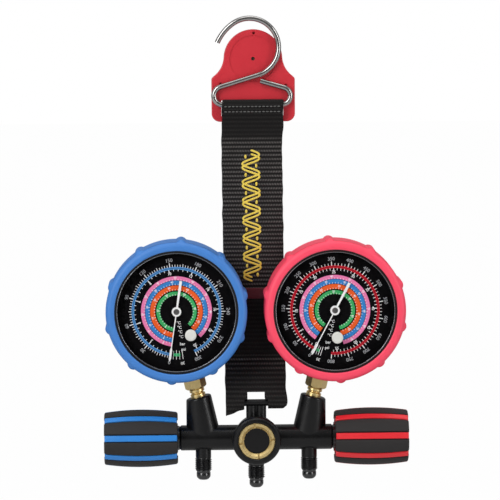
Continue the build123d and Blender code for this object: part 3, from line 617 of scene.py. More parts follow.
def make_finishes():
    """Every finish by the material slot or the print that uses it."""
    scene_set = bpy.context.scene.manifold_set
    tones = scene_set.colours
    along_y, along_z = (1, 40, 1), (1, 1, 40)
    made = {
        "steel_wire": machined("polished wire", screen(172, 170, 168), 0.13, (6, 6, 6), 1.2 * MM, 0.002 * MM),
        "webbing": ribbed("webbing yarn", tones.webbing, scene_set.strap.rib_pitch),
        "tab_fabric": woven("tab fabric", tones.tab, 0.6 * MM, Sheen_Weight=0.2),
        "red_plastic": moulded("plate moulding", tones.plate, 0.36, 0.8 * MM, 0.012 * MM),
        "zinc_steel": machined("zinc plated cup", screen(190, 192, 196), 0.34, (3, 3, 3), 1.5 * MM),
        "ferrite": coated("sintered magnet", screen(62, 62, 66), 0.62),
        "rivet_steel": machined("rivet steel", screen(96, 84, 74), 0.4, along_y),
        "black_aluminium": coated("black anodised bar", screen(13, 13, 14), 0.27, Specular_IOR_Level=0.3),
        "black_steel": coated("black tee bar", screen(15, 15, 16), 0.34, Specular_IOR_Level=0.34),
        "black_fitting": coated("black port", screen(20, 20, 21), 0.18, Specular_IOR_Level=0.8),
        "brass": machined("turned brass", tones.brass, 0.36, along_y),
        "brass_socket": machined("milled brass", tones.brass, 0.27, (1, 1, 12)),
        "sight_glass": dark_glass("sight glass"),
        "seal_rubber": moulded("seal rubber", screen(26, 26, 27), 0.6, 0.6 * MM, 0.02 * MM),
        "valve_steel": machined("valve steel", screen(120, 118, 118), 0.34, along_z),
        "black_plastic": moulded("end cap", screen(38, 38, 39), 0.5, 0.7 * MM, 0.02 * MM),
        "grip_rubber": moulded(
            "grip pad rubber", screen(46, 44, 44), 0.62, 0.5 * MM, 0.035 * MM, Specular_IOR_Level=0.2
        ),
        "case_steel": coated("case enamel", screen(24, 24, 25), 0.42),
        "bezel_black": coated("bezel gloss", screen(16, 16, 17), 0.22),
        "lens_clear": clear("gauge lens", 1.16, 0.03),
        "plug_white": moulded("lens plug", screen(216, 216, 210), 0.45, 0.7 * MM, 0.03 * MM),
        "dial_black": printed("dial face", screen(12, 11, 13), 0.04),
        "pointer_white": printed("pointer enamel", screen(250, 250, 250)),
        "tube_bronze": machined("drawn bronze", screen(186, 140, 84), 0.3, (2, 30, 2)),
        "blue_plastic_knob": moulded("low knob ribs", tones.knob_low, 0.4, 0.8 * MM, 0.012 * MM),
        "red_plastic_knob": moulded("high knob ribs", tones.knob_high, 0.4, 0.8 * MM, 0.012 * MM),
        "blue_rubber": moulded("low boot rubber", tones.boot_low, 0.5, 0.45 * MM, 0.02 * MM),
        "red_rubber": moulded("high boot rubber", tones.boot_high, 0.5, 0.45 * MM, 0.02 * MM),
        "bright_bead": machined("polished bead", screen(150, 152, 156), 0.18, along_y, 1.0 * MM, 0.001 * MM),
        "gold": sewn("gold thread", tones.gold),
        "stitch": sewn("grey thread", screen(84, 84, 82)),
        "white_ink": printed("white ink", screen(250, 251, 252)),
        "grey_ink": printed("grey ink", screen(176, 178, 182)),
        "black_ink": printed("black ink", screen(12, 11, 13), 0.04),
    }
    for ring in ("outer", "second", "third", "inner"):
        made[f"{ring}_ink"] = printed(f"{ring} ring ink", getattr(tones, f"ring_{ring}"))
    for side in SIDES:
        made[f"{side}_scale_ink"] = printed(f"{side} scale ink", getattr(tones, f"scale_{side}"))
    made["green_ink"] = printed("vacuum mark ink", screen(70, 190, 120))
    return made


FINISHES = {}


# ---- gauges ----


def boot_shape(b):
    """A rounded band whose radius swells at each lug; the lugs stop short of the band's ends."""
    wall = [
        (b["opening"], -b["front"], 0.9),
        (b["radius"], -b["front"], 3.3),
        (b["radius"], b["back"], 4.5),
        (b["back_opening"], b["back"], 0.6),
        (b["back_opening"], b["back"] - 1.5, 0.5),
        (b["inner"], b["back"] - 1.5, 0.6),
        (b["inner"], 2.1 - b["front"], 0.6),
        (b["opening"], 2.1 - b["front"], 0.6),
    ]
    outline = softened(wall, 6)
    lug_front, lug_back = 2.6 - b["front"], b["back"] - 3.6
    side = [y for y in (lug_front + 0.3 * step for step in range(200)) if y < lug_back]
    first = next(i for i, (r, y) in enumerate(outline) if r > b["radius"] - 0.01 and y > lug_front - 1)
    rows = side[:6] + side[6:-6:8] + side[-6:]
    outline[first : first + 1] = [outline[first]] + [(b["radius"], y) for y in rows]
    step = 360 / b["lugs"]
    beside = [0.35 * i for i in range(-15, 16)] + [5.25 + (step - 10.5) * i / 12 for i in range(1, 12)]
    angles = [step * (lug + 0.5) + angle for lug in range(b["lugs"]) for angle in beside]

    def lug_height(degrees, y):
        off = math.radians(degrees % step - step / 2)
        across = b["lug_out"] * math.sin(off)
        if abs(across) >= b["lug_radius"]:
            return 0.0
        end = min(y - lug_front, lug_back - y) + 0.3
        if end <= 0:
            return 0.0
        round_off = 1.5 - math.sqrt(max(0.0, 1.5**2 - (1.5 - min(end, 1.5)) ** 2))
        reach = math.sqrt(max(0.0, (b["lug_radius"] - round_off * 0.6) ** 2 - across**2))
        return b["lug_out"] * math.cos(off) + reach - round_off * 0.7

    shape, rings = Shape(), []
    for degrees in angles:
        ring = []
        for radius, y in outline:
            lug = lug_height(degrees, y) if radius > b["radius"] - 0.6 else 0.0
            fillet = 0.45 * math.exp(-(((lug - radius) / 0.9) ** 2)) if lug else 0.0
            ring.append(polar(max(radius, lug) + fillet, degrees) + (y,))
        rings.append([(x, y, z) for x, z, y in ring])
    shape.loft(rings, along=True)
    return shape


def make_boot(name):
    b = sizes("boot")
    rubber = FINISHES["blue_rubber" if name == "low" else "red_rubber"]
    boot = boot_shape(b).made(f"{name}_boot_cover", [rubber], gauge_frame(name), "manifold")
    stem = Shape()
    stem.loft([[polar(8.8, 360 * i / 64) + (z,) for i in range(64)] for z in (-60, -38)], capped=True)
    cut(boot, stem.made("stem_cutter", [], gauge_frame(name), "manifold"))
    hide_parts(f"{name}_boot")


def make_bezel(name):
    """The rolled steel bezel, with a polished bead where it grips the lens."""
    inner, outer, seat = 38.4, 42.1, 41.25
    front, back, rest, steps = -17.7, -7.0, -16.15, 160
    corners = [(inner, rest, 0), (inner, front, 0.5), (outer, front, 1.0), (outer, back, 0.2)]
    shape = Shape()
    shape.turned(softened(corners + [(seat, back, 0.1), (seat, rest, 0)], 6), steps)
    bead_radius, bead_y, bead_size = 38.72, -17.72, 0.3
    circle = [math.tau * i / 12 for i in range(12)]
    ring = [(bead_radius + bead_size * math.cos(a), bead_y - bead_size * math.sin(a)) for a in circle]
    shape.turned(ring, steps, finish=1)
    finishes = [FINISHES["bezel_black"], FINISHES["bright_bead"]]
    bezel = shape.made(f"{name}_bezel_ring", finishes, gauge_frame(name), "manifold")
    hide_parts(f"{name}_bezel")


# ---- dials ----

DIAL_TOP = -11.0
RINGS = [
    (23.1, 20.6, "outer_ink"),
    (20.3, 17.5, "second_ink"),
    (17.1, 14.0, "third_ink"),
    (13.1, 10.7, "inner_ink"),
]
DIALS = {
    "low": {
        "zero": 188.5,
        "step": 32.71,
        "numbers": [str(30 * i) for i in range(11)],
        "minor": 10,
        "inner": [str(2 * i) for i in range(11)],
        "inner_step": 32.3,
        "inner_minor": 5,
        "inner_tick": 26.5,
        "rings": (188.0, 497.5),
        "vacuum": (172.5, 188.5),
        "units": 170.0,
    },
    "high": {
        "zero": 209.5,
        "step": 20.94,
        "numbers": [str(50 * i) for i in range(17)],
        "minor": 5,
        "inner": [str(5 * i) for i in range(12)],
        "inner_step": 29.8,
        "inner_minor": 6,
        "inner_tick": 26.1,
        "rings": (214.5, 526.0),
        "vacuum": (198.0, 209.5),
        "units": 192.0,
    },
}
INKS = ["dial_black", "white_ink", "black_ink", *(ink for _, _, ink in RINGS), "green_ink", "grey_ink"]
UNITS = [("\u00b0C", radius) for radius in (7.6, 10.6, 13.6, 16.8)] + [("bar", 21.6), ("psi", 25.2)]
LONG_TICK, HALF_TICK, SHORT_TICK, VACUUM_TICK = 31.9, 31.3, 30.7, 31.4  # outer ends of the ticks


class Print:
    """The printing of one dial: flat marks that stand a hair proud of the plate."""

    def __init__(self, ink):
        self.shape, self.top, self.ink = Shape(), DIAL_TOP, ink

    def band(self, outer, inner, start, end, ink, layer=1.0):
        """Part of a ring between two clockwise angles."""
        steps = max(2, round((end - start) / 2))
        front = self.top - self.ink * layer
        rings = []
        for step in range(steps + 1):
            degrees = start + (end - start) * step / steps
            (xo, zo), (xi, zi) = polar(outer, degrees), polar(inner, degrees)
            rings.append([(xo, front, zo), (xi, front, zi), (xi, self.top, zi), (xo, self.top, zo)])
        self.shape.loft(rings, ink, capped=True)

    def tick(self, inner, outer, degrees, width, ink=1, layer=1.0):
        """A radial line."""
        across = Vector(polar(width / 2, degrees + 90))
        near, far = Vector(polar(inner, degrees)), Vector(polar(outer, degrees))
        outline = [tuple(near - across), tuple(far - across), tuple(far + across), tuple(near + across)]
        self.shape.slab(outline, self.top - self.ink * layer, self.top, ink)

    def words(self, text, radius, degrees, height, ink=1, layer=1.0, upright=0.0):
        """Figures centred on a point of the dial, standing with their feet to the centre."""
        curve = bpy.data.curves.new("figures", "FONT")
        curve.body, curve.size, curve.align_x, curve.align_y = text, height * 1.38, "CENTER", "CENTER"
        curve.resolution_u, curve.extrude, curve.offset = 3, self.ink * layer / 2, height * 0.018
        thing = linked("figures", curve)
        bpy.context.view_layer.update()
        mesh = bpy.data.meshes.new_from_object(thing.evaluated_get(bpy.context.evaluated_depsgraph_get()))
        x, z = polar(radius, degrees)
        front = self.top - self.ink * layer / 2
        turned = Matrix.Rotation(math.radians(degrees * (1 - upright)), 4, "Y")
        place = Matrix.Translation((x, front, z)) @ turned @ Matrix.Rotation(math.pi / 2, 4, "X")
        faces = [tuple(face.vertices) for face in mesh.polygons]
        self.shape.add([place @ vertex.co for vertex in mesh.vertices], faces, ink)
        bpy.data.objects.remove(thing)
        bpy.data.meshes.remove(mesh)


def make_print(name):
    """Rings, scale line, ticks and figures of one dial."""
    d, facts = sizes("dial"), DIALS[name]
    mark = Print(d["ink"])
    zero, step, count = facts["zero"], facts["step"], len(facts["numbers"])
    last = zero + step * (count - 1)
    half = d["scale_width"] / 2
    line_in, line_out = d["scale_radius"] - half, d["scale_radius"] + half
    scale_ink, grey_ink = len(INKS), INKS.index("grey_ink")
    gap = 0.13
    mark.band(line_out, d["scale_radius"] + gap, zero - 0.8, last + 0.8, scale_ink)
    mark.band(d["scale_radius"] - gap, line_in, zero - 0.8, last + 0.8, scale_ink)
    for major in range(count):
        degrees = zero + step * major
        mark.tick(line_out - 0.2, LONG_TICK, degrees, 0.55)
        figure, height = facts["numbers"][major], 0.92 * d["number_height"]
        mark.words(figure, d["number_radius"] + 0.2, degrees, height, grey_ink)
        if major < count - 1:
            for minor in range(1, facts["minor"]):
                reach = HALF_TICK if 2 * minor == facts["minor"] else SHORT_TICK
                mark.tick(line_out - 0.1, reach, degrees + step * minor / facts["minor"], 0.36)
    for major, figure in enumerate(facts["inner"]):
        degrees = zero + facts["inner_step"] * major
        if degrees > last + 1:
            break
        mark.tick(25.7, line_in + 0.1, degrees, 0.5)
        mark.words(figure, d["inner_number_radius"] - 0.1, degrees, d["inner_number_height"])
        for minor in range(1, facts["inner_minor"]):
            inner_degrees = degrees + facts["inner_step"] * minor / facts["inner_minor"]
            if inner_degrees < last:
                mark.tick(facts["inner_tick"], line_in + 0.1, inner_degrees, 0.36)
    start, end = facts["rings"]
    for ring, (outer, inner, ink) in enumerate(RINGS):
        mark.band(outer, inner, start, end, INKS.index(ink))
        marks = 60 - 9 * ring
        for number in range(1, marks):
            degrees = start + (end - start) * number / marks
            labelled = number % 6 == 3
            mark.tick(inner - 0.12, inner + (1.1 if labelled else 0.75), degrees, 0.26, 1, 2.0)
            if labelled:
                mark.words(str(10 * (number // 6)), (outer + inner) / 2 + 0.35, degrees, 1.3, 1, 2.0)
    vacuum_start, vacuum_end = facts["vacuum"]
    mark.band(line_out + 0.1, line_in - 0.1, vacuum_start + 3, vacuum_end - 4, INKS.index("green_ink"))
    for number in range(4):
        degrees = vacuum_start + (vacuum_end - vacuum_start) * number / 4
        mark.tick(line_in - 2.2 + 0.5 * (number % 2), VACUUM_TICK, degrees, 0.34)
    mark.words("30", d["number_radius"] + 0.6, vacuum_start + 1.0, 1.9)
    for text, radius in UNITS:
        mark.words(text, radius, facts["units"], 1.9, upright=1.0)
    inks = [FINISHES[ink] for ink in INKS] + [FINISHES[f"{name}_scale_ink"]]
    printing = mark.shape.made(f"{name}_dial_printing", inks, dial_frame(name), "manifold")


# ---- valves and ports ----


KNOBS = {"low": (8.4, "blue_plastic_knob"), "high": (9.3, "red_plastic_knob")}  # first rib's angle, slot
PORTS = {  # distance along the bar, top of the thread, shank above it
    "low_port": (-34.8, -13.0, 5.8),
    "high_port": (34.8, -13.0, 5.8),
    "centre_port": (0, -18.4, 5.0),
}


def barrel_radius(k, x):
    """Radius of the knob's bulging barrel at a distance along the bar."""
    middle, half = (k["start"] + k["end"]) / 2, (k["end"] - k["start"]) / 2
    drop = k["middle_radius"] - k["end_radius"]
    arc = (half**2 + drop**2) / (2 * drop)
    return k["middle_radius"] - arc + math.sqrt(arc**2 - (x - middle) ** 2)


def round_bar(side, x, radius, from_front):
    """A point on the knob, at an angle in radians above the front of the bar."""
    return side * x, -radius * math.cos(from_front), radius * math.sin(from_front)


def knob_core_shape(k, first, side):
    """The coloured moulding: a ribbed barrel with a floor, and a hub on six webs, open towards the bar."""
    start, end, floor = k["start"] + 0.5, k["end"] - 0.6, 90.0
    hub_start, hub, recess, half = 62.0, 6.2, 12.5, k["rib"] / 2
    cap, stem, screw = (96.5, 11.9), (92.0, 3.0), 4.2
    inside = [(end, cap[1]), cap, (cap[0], screw), (stem[0], screw), stem, (hub_start, stem[1])]
    inside += [(hub_start, hub), (floor, hub), (floor, recess), (start, recess)]
    spots = [start, start + 0.4] + [start + (end - start) * i / 24 for i in range(1, 24)] + [end - 0.4, end]
    crown = [(-half, 0.3), (0.3 - half, 0.0), (-half / 2, 0.0), (0.0, 0.0)]
    crown += [(half / 2, 0.0), (half - 0.3, 0.0), (half, 0.3)]
    mean = 17.0  # the radius at which the inside takes its angles
    rings = []

    def section(centre, across, drop, share=0.0):
        """The wall's section across a rib's middle, or at a share of the way to the next rib."""
        ring = []
        for x in spots:
            radius = barrel_radius(k, x) - drop - (0.4 if x in (start, end) else 0.0)
            edge = math.asin(across / radius)
            gap = math.tau / k["ribs"] - 2 * math.asin(half / radius)
            ring.append(round_bar(side, x, radius, centre + edge + share * gap))
        gap = math.tau / k["ribs"] - 2 * math.asin(half / mean)
        middle = centre + math.asin(across / mean) + share * gap
        rings.append(ring + [round_bar(side, x, radius, middle) for x, radius in inside])

    for rib in range(k["ribs"]):
        centre = math.radians(first + 360 / k["ribs"] * rib)
        section(centre, -half, k["pad"])
        for across, drop in crown:
            section(centre, across, 0.15 + drop)
        for quarter in range(4):
            section(centre, half, k["pad"], quarter / 4)
    shape = Shape()
    shape.loft(rings, along=True)
    low, high = hub - 0.6, recess + 0.4
    for web in range(6):
        turn = math.tau * web / 6
        corners = []
        for x in (66.0, floor + 0.5):
            for radius, across in ((low, -0.8), (high, -0.8), (high, 0.8), (low, 0.8)):
                angle = turn + math.atan2(across, radius)
                corners.append(round_bar(side, x, math.hypot(radius, across), angle))
        shape.loft([corners[:4], corners[4:]], capped=True)
    return shape


def knob_pad_shape(k, first, side):
    """Rubber pads with rounded edges, each filling the space between two ribs down to a thin skirt."""
    end, rounding, corner = k["end"] - 0.3, 1.1, 0.55
    length_steps = [0, 0.12, 0.35, 0.7, rounding]
    spots = [k["start"] + s for s in length_steps]
    spots += [k["start"] + rounding + (end - k["start"] - 2 * rounding) * i / 30 for i in range(1, 30)]
    spots += [end - s for s in reversed(length_steps)]
    shape = Shape()
    for rib in range(k["ribs"]):
        centre = math.radians(first + 360 / k["ribs"] * (rib + 0.5))
        rings = []
        for x in spots:
            near = min(x - k["start"], end - x)
            inset = rounding - math.sqrt(max(0.0, rounding**2 - (rounding - min(near, rounding)) ** 2))
            radius, floor = barrel_radius(k, x) - inset, barrel_radius(k, x) - k["pad"]
            side_gap = k["rib"] / 2 + k["groove"]
            edge = math.pi / k["ribs"] - math.asin(side_gap / radius) - inset * 0.5 / radius
            skirt, foot = floor + 1.1, math.pi / k["ribs"] - math.asin((k["rib"] / 2 + 0.03) / floor)
            low_edge = math.pi / k["ribs"] - math.asin(side_gap / skirt)
            ring = [(skirt, -low_edge), (skirt, -foot)]
            ring += [(floor, -foot + 2 * foot * i / 8) for i in range(9)]
            ring += [(skirt, foot), (skirt, low_edge)]
            bend = []
            for angle in (math.pi / 2 * turn / 4 for turn in range(5)):
                pull = corner * (1 - math.cos(angle))
                bend.append((radius - corner * (1 - math.sin(angle)), edge - pull / radius))
            inside = edge - corner / radius
            ring += bend + [(radius, inside - 2 * inside * i / 12) for i in range(1, 12)]
            ring += [(r, -angle) for r, angle in reversed(bend)]
            rings.append([round_bar(side, x, r, centre + a) for r, a in ring])
        shape.loft(rings, capped=True)
    return shape


def make_knob(name):
    """A knob's ribbed moulding and the rubber pads between its ribs."""
    k, side, body = sizes("knob"), SIDES[name], f"{name}_knob"
    first, slot = KNOBS[name]
    core = knob_core_shape(k, first, side).made(f"{name}_knob_moulding", [FINISHES[slot]], BAR_FRAME, body)
    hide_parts(f"{name}_knob_core")
    rubber = [FINISHES["grip_rubber"]]
    pads = knob_pad_shape(k, first, side).made(f"{name}_knob_pads", rubber, BAR_FRAME, body)
    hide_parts(f"{name}_knob_grip")


def port_shape(p, x, top, shank):
    """A flare nipple with a cut thread, a relief, a 45 degree nose and an open bore."""
    around, per_turn = 96, 16
    relief, nose, nose_length, tip, bore = 4.4, 4.6, 3.1, 2.9, 2.4
    bottom = top - p["length"]
    rows = [(bore, top + shank), (4.0, top + shank), (4.0, top), (p["radius"] - p["depth"], top)]
    thread = [top - p["pitch"] * i / per_turn for i in range(1, int(p["length"] / p["pitch"] * per_turn))]
    rows += [(None, z) for z in thread]
    end = bottom - 0.8 - nose_length - (nose - tip)
    cone = end + nose - tip
    rows += [(p["radius"] - p["depth"], bottom), (relief, bottom), (relief, bottom - 0.7)]
    rows += [(nose - 0.25, bottom - 0.8), (nose, bottom - 1.05), (nose, cone + 0.9)]
    rows += [(nose - 0.1, cone + 0.2), (nose - 0.4, cone - 0.4), (tip + 0.6, end + 0.5)]
    rows += [(tip + 0.15, end + 0.12), (tip - 0.25, end), (bore + 0.3, end), (bore, end + 0.3)]
    rings = []
    for step in range(around):
        degrees = 360 * step / around
        ring = []
        for radius, z in rows:
            if radius is None:
                turn = ((top - z) / p["pitch"] + step / around) % 1.0
                crest = 1 - abs(2 * turn - 1)
                fade = smooth((top - z) / 0.9) * smooth((z - bottom) / 0.9)
                radius = p["radius"] - p["depth"] * (1 - fade * crest)
            u, v = polar(radius, degrees)
            ring.append((x + u, v, z))
        rings.append(ring)
    shape = Shape()
    shape.loft(rings, along=True)
    return shape


def make_ports():
    p = sizes("port")
    metal = [FINISHES["black_fitting"]]
    for name, (x, top, shank) in PORTS.items():
        shape = port_shape(p, x, top, shank)
        port = shape.made(f"{name}_nipple", metal, BAR_FRAME, "manifold", THREAD_CREASE)
        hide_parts(name)


# ---- strap ----


def strap_line():
    """The strap's middle line seen from its edge: (y, z) corners and the radius of each bend."""
    slack, wire, tee, web = 0.3, 1.75, 2.25, 1.5
    hook_y, hook_z, tee_y, tee_z = HOOK_MIDDLE.y, HOOK_MIDDLE.z, TEE_MIDDLE.y, TEE_MIDDLE.z
    hook_loop, tee_loop = wire + slack + web / 2, tee + slack + web / 2
    behind = 21.35
    over, under = hook_z + hook_loop, tee_z - tee_loop
    return [
        (MAIN_Y + web, 190, 0),
        (MAIN_Y + web, 199, 3),
        (behind, 205.5, 2),
        (behind, 210.8, 2),
        (hook_y + hook_loop, hook_z - 1.4, 1.5),
        (hook_y + hook_loop, over, hook_loop - 0.05),
        (hook_y - hook_loop, over, hook_loop - 0.05),
        (hook_y - hook_loop, hook_z - 3.9, 4),
        (MAIN_Y, 203, 8),
        (MAIN_Y, 48.5, 8),
        (tee_y + tee_loop, tee_z + 2, 3),
        (tee_y + tee_loop, under, tee_loop - 0.05),
        (tee_y - tee_loop, under, tee_loop - 0.05),
        (tee_y - tee_loop, tee_z + 2.5, 3),
        (FLAP_Y, 50, 6),
        (FLAP_Y, 90, 0),
    ]


def strap_place(s, x, y, z):
    """Where a point of the flat-edged strap really hangs: its lean, its slack corner and small waves."""
    slot_foot, slot_rise, slot_pull = 194, 10, 0.35
    in_slot = smooth((z - slot_foot) / slot_rise)
    lean = s["lean"] * (0.5 - (z - 20) / 180) * (1 - 0.8 * in_slot)
    lean = lean + slot_pull * in_slot * (x > 0) * x / 20
    slack = max(0.0, min(1.0, (-6.8 - x) / 13.6)) ** 1.1
    slack = slack * max(0.0, min(1.0, (47 - z) / 27)) ** 1.6
    lift = 2.0 * max(0.0, (x - 16.2) / 3.2) ** 2.2 * smooth((25 - z) / 5)
    wave = noise.noise(Vector((x * 0.03, z * 0.035, 4.0)))
    edge = noise.noise(Vector((9.0 if x > 0 else -9.0, z * 0.12, 1.0)))
    clear = smooth((200 - z) / 30) * smooth((z - 40) / 25)
    bulge = edge * 0.45 * (abs(x) / 20) ** 2
    bulge = bulge + 0.5 * math.sin(z * 0.33) * smooth((x - 15) / 5) * smooth((45 - z) / 15)
    return x + lean + bulge, y + 0.25 * wave * clear, z - s["droop"] * slack + lift


def strap_shape(s):
    """The ribbed band along the whole route, and the route's length."""
    half_width, half = s["width"] / 2, s["thickness"] / 2
    line, ways, total = even(softened(strap_line(), 8, closed=False), 0.36)
    columns = 38
    across = [-half_width + 0.02, -half_width + 0.2, -half_width + 0.5]
    across += [-half_width + 0.9 + (s["width"] - 1.8) * i / columns for i in range(columns + 1)]
    across += [half_width - 0.5, half_width - 0.2, half_width - 0.02]
    rings = []
    for (y, z), way in zip(line, ways):
        out = Vector((-way.y, way.x))
        tape = smooth((z - 52) / 4) * smooth((92 - z) / 4) if y < 14 else smooth((z - 196) / 5)
        ribbed = 1 - 0.85 * tape
        ring = []
        for face in (1, -1):
            row = across if face == 1 else across[::-1]
            for x in row:
                rim = min(1.0, (half_width - abs(x)) / 0.9)
                level = strap_place(s, x - 0.6, y, z)[2]
                weave = 0.5 + 0.5 * math.sin(math.tau * level / s["rib_pitch"])
                dent = s["rib_height"] * ribbed * (1 - weave) ** 1.5 * (0.85 + 0.15 * math.sin(x * 6.6))
                thick = half * math.sqrt(max(0.0, 1 - (1 - rim) ** 2)) - dent * smooth(rim)
                ring.append(strap_place(s, x - 0.6, y + face * out.x * thick, z + face * out.y * thick))
        rings.append(ring)
    shape = Shape()
    shape.loft(rings, capped=True)
    return shape, total


def make_strap():
    """The webbing with its cut-outs, and the stitches and motif on it."""
    s = sizes("strap")
    shape, total = strap_shape(s)
    strap = shape.made("strap_webbing", [FINISHES["webbing"]], BAR_FRAME, "hanger", STRAP_CREASE)
    tee_z = TEE_MIDDLE.z
    arms = box_cutter((-7.8, 7.8), (-12, 6), (tee_z - 14, tee_z + 2.6), BAR_FRAME, "hanger")
    window = box_cutter((-5.7, 5.7), (-12, 6.5), (tee_z + 1, 30.6), BAR_FRAME, "hanger")
    whole = volume(strap)
    cut(strap, arms, window)
    kept = volume(strap) / whole
    strap.data.set_sharp_from_angle(angle=math.radians(STRAP_CREASE))
    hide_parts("strap")
    stitches = make_stitches()
    motif = make_motif(s)
    s["width"] * MM
    total * MM
    s["width"] * total * kept * MM * MM


def bead(shape, points, width, height):
    """A low rounded line through points on the strap's front, as a band of thread."""
    points = [Vector(point) for point in points]
    rings = []
    for index, point in enumerate(points):
        way = points[min(index + 1, len(points) - 1)] - points[max(index - 1, 0)]
        side = Vector((way.z, 0, -way.x)).normalized() * (width / 2)
        ends = index in (0, len(points) - 1)
        swell = 0.35 if ends else 1.0
        ring = []
        for angle in (math.tau * step / 10 for step in range(10)):
            lift = Vector((0, -height * swell * max(-0.3, math.sin(angle)), 0))
            ring.append(point + side * swell * math.cos(angle) + lift)
        rings.append(ring)
    shape.loft(rings, capped=True)


def front_of_strap(s, x, z, lift):
    """A point on the front of the main run."""
    return strap_place(s, x, MAIN_Y - s["thickness"] / 2 - lift, z)


def make_stitches():
    """Two rows of pale stitches under the upper fold."""
    shape = Shape()
    count, start, span, stitch = 15, -19.2, 37.2, 1.9
    for z, proud in ((217.0, 0.78), (213.6, 0.75)):
        y = HOOK_MIDDLE.y - 2.8 - proud
        for number in range(count):
            left = start + span * number / count
            bead(shape, [(left + stitch * i / 4, y, z) for i in range(5)], 0.75, 0.35)
    row = shape.made("strap_stitches", [FINISHES["stitch"]], BAR_FRAME, "hanger")
    return row


def make_motif(s):
    """A plain embroidered vine down the strap: a double wave with a seed stitch in every bend."""
    shape = Shape()
    middle, reach, waves = -1.4, s["motif_width"] / 2 - 0.6, 7
    top, bottom, apart, steps = 187.0, 103.0, 1.25, 280
    tall = top - bottom
    for shift in (-apart, apart):
        angles = [math.tau * waves * i / steps for i in range(steps + 1)]
        wave = [(reach * math.sin(angle), top - tall * i / steps) for i, angle in enumerate(angles)]
        points = [front_of_strap(s, middle + u, z + shift, -0.1) for u, z in even(wave, 0.7)[0]]
        bead(shape, points, s["motif_thread"], 0.45)
    for bend in range(2 * waves):
        u, z = (0.62 if bend % 2 else -0.62) * reach, top - tall * (bend + 0.5) / (2 * waves)
        points = [front_of_strap(s, middle + u, z + v, -0.1) for v in (-1.3, -0.7, 0.0, 0.7, 1.3)]
        bead(shape, points, s["motif_thread"] * 1.1, 0.45)
    motif = shape.made("strap_motif", [FINISHES["gold"]], BAR_FRAME, "hanger")
    return motif


def make_tab():
    """The doubled pull tab at the end of the flap, with rounded edges and a sewn hem."""
    front, back, foot, head, middle = 12.5, 14.0, 90.2, 97.4, 93.8
    left, right, shape, rings = -20.3, 19.1, Shape(), []
    outline = softened([(front, foot, 0.3), (back, foot, 0.3), (back, head, 0.6), (front, head, 0.6)], 4)
    spots = [left, -20.1, -19.7] + [-19.0 + 36.8 * i / 30 for i in range(31)] + [18.5, 18.9, right]
    for x in spots:
        pull = 1 - 0.25 * (1 - smooth(min(x - left, right - x) / 1.2))
        tall = 0.9 + 0.1 * pull
        rings.append([(x, FLAP_Y + (y - FLAP_Y) * pull, middle + (z - middle) * tall) for y, z in outline])
    shape.loft(rings, capped=True)
    tab = shape.made("flap_tab", [FINISHES["tab_fabric"]], BAR_FRAME, "hanger")
    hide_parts("strap_tab")


# ---- stage ----


def make_floor(drop):
    """A wide pale floor that shows as white yet keeps the object's shadow."""
    mesh = bpy.data.meshes.new("floor")
    reach, white_share = 9, 0.985
    corners = [(x * reach, y * reach, -drop) for x, y in ((-1, -1), (1, -1), (1, 1), (-1, 1))]
    mesh.from_pydata(corners, [], [(0, 1, 2, 3)])
    floor = linked("floor", mesh)
    finish = Finish("pale floor", (0.62, 0.62, 0.62), 0.9)
    finish.shade(finish.cloud(0.3, 2), 0.98, 1.02)
    seen = finish.node("LightPath", output=0)
    glow = finish.node("Emission", inputs={"Strength": 1.0})
    plain = Value(finish, finish.shader.outputs[0])
    mixed = finish.node("MixShader", inputs={0: seen * white_share, 1: plain, 2: glow})
    output = next(node for node in finish.tree.nodes if node.type == "OUTPUT_MATERIAL")
    finish.join(output.inputs["Surface"], mixed)
    mesh.materials.append(finish.material)


def make_sky(strength):
    """White to the camera, and a soft studio elsewhere: brighter above and behind, darker in front."""
    world = bpy.data.worlds.new("studio")
    bpy.context.scene.world = world
    world.use_nodes = True
    light = Nodes(world.node_tree)
    seen = light.node("LightPath", output=0)
    way = light.node("SeparateXYZ", inputs={0: light.node("TexCoord", output=0)}).socket.node
    side, behind, up = [Value(light, way.outputs[index]) for index in range(3)]
    front, above, beside, rear = 0.13, 0.6, 0.42, 0.3
    studio = front + above * up.over(0.15, 0.75) + beside * side.absolute().over(0.35, 0.55)
    studio = studio + rear * behind.over(0.0, 0.7)
    level = strength * studio
    back = world.node_tree.nodes["Background"]
    back.inputs["Color"].default_value = (1, 1, 1, 1)
    light.join(back.inputs["Strength"], seen + (1 - seen) * level)


def make_lamps():
    """Broad soft lamps: a key from the upper left, a fill from the right, one above."""
    middle = (CAD_LOW + CAD_HIGH) / 2
    lamps = (
        ("key", (-1.15, -1.4, 0.8), (0.7, 1.7), 24.0),
        ("fill", (1.5, -1.2, 0.4), (0.4, 1.5), 12.0),
        ("top", (0.1, -0.2, 1.7), (1.4, 1.0), 8.0),
    )
    for name, away, size, power in lamps:
        light = bpy.data.lights.new(name, "AREA")
        light.shape, light.energy = "RECTANGLE", power
        light.size, light.size_y = size
        lamp = linked(name, light)
        lamp.location = middle + Vector(away)
        lamp.rotation_euler = (middle - lamp.location).to_track_quat("-Z", "Y").to_euler()


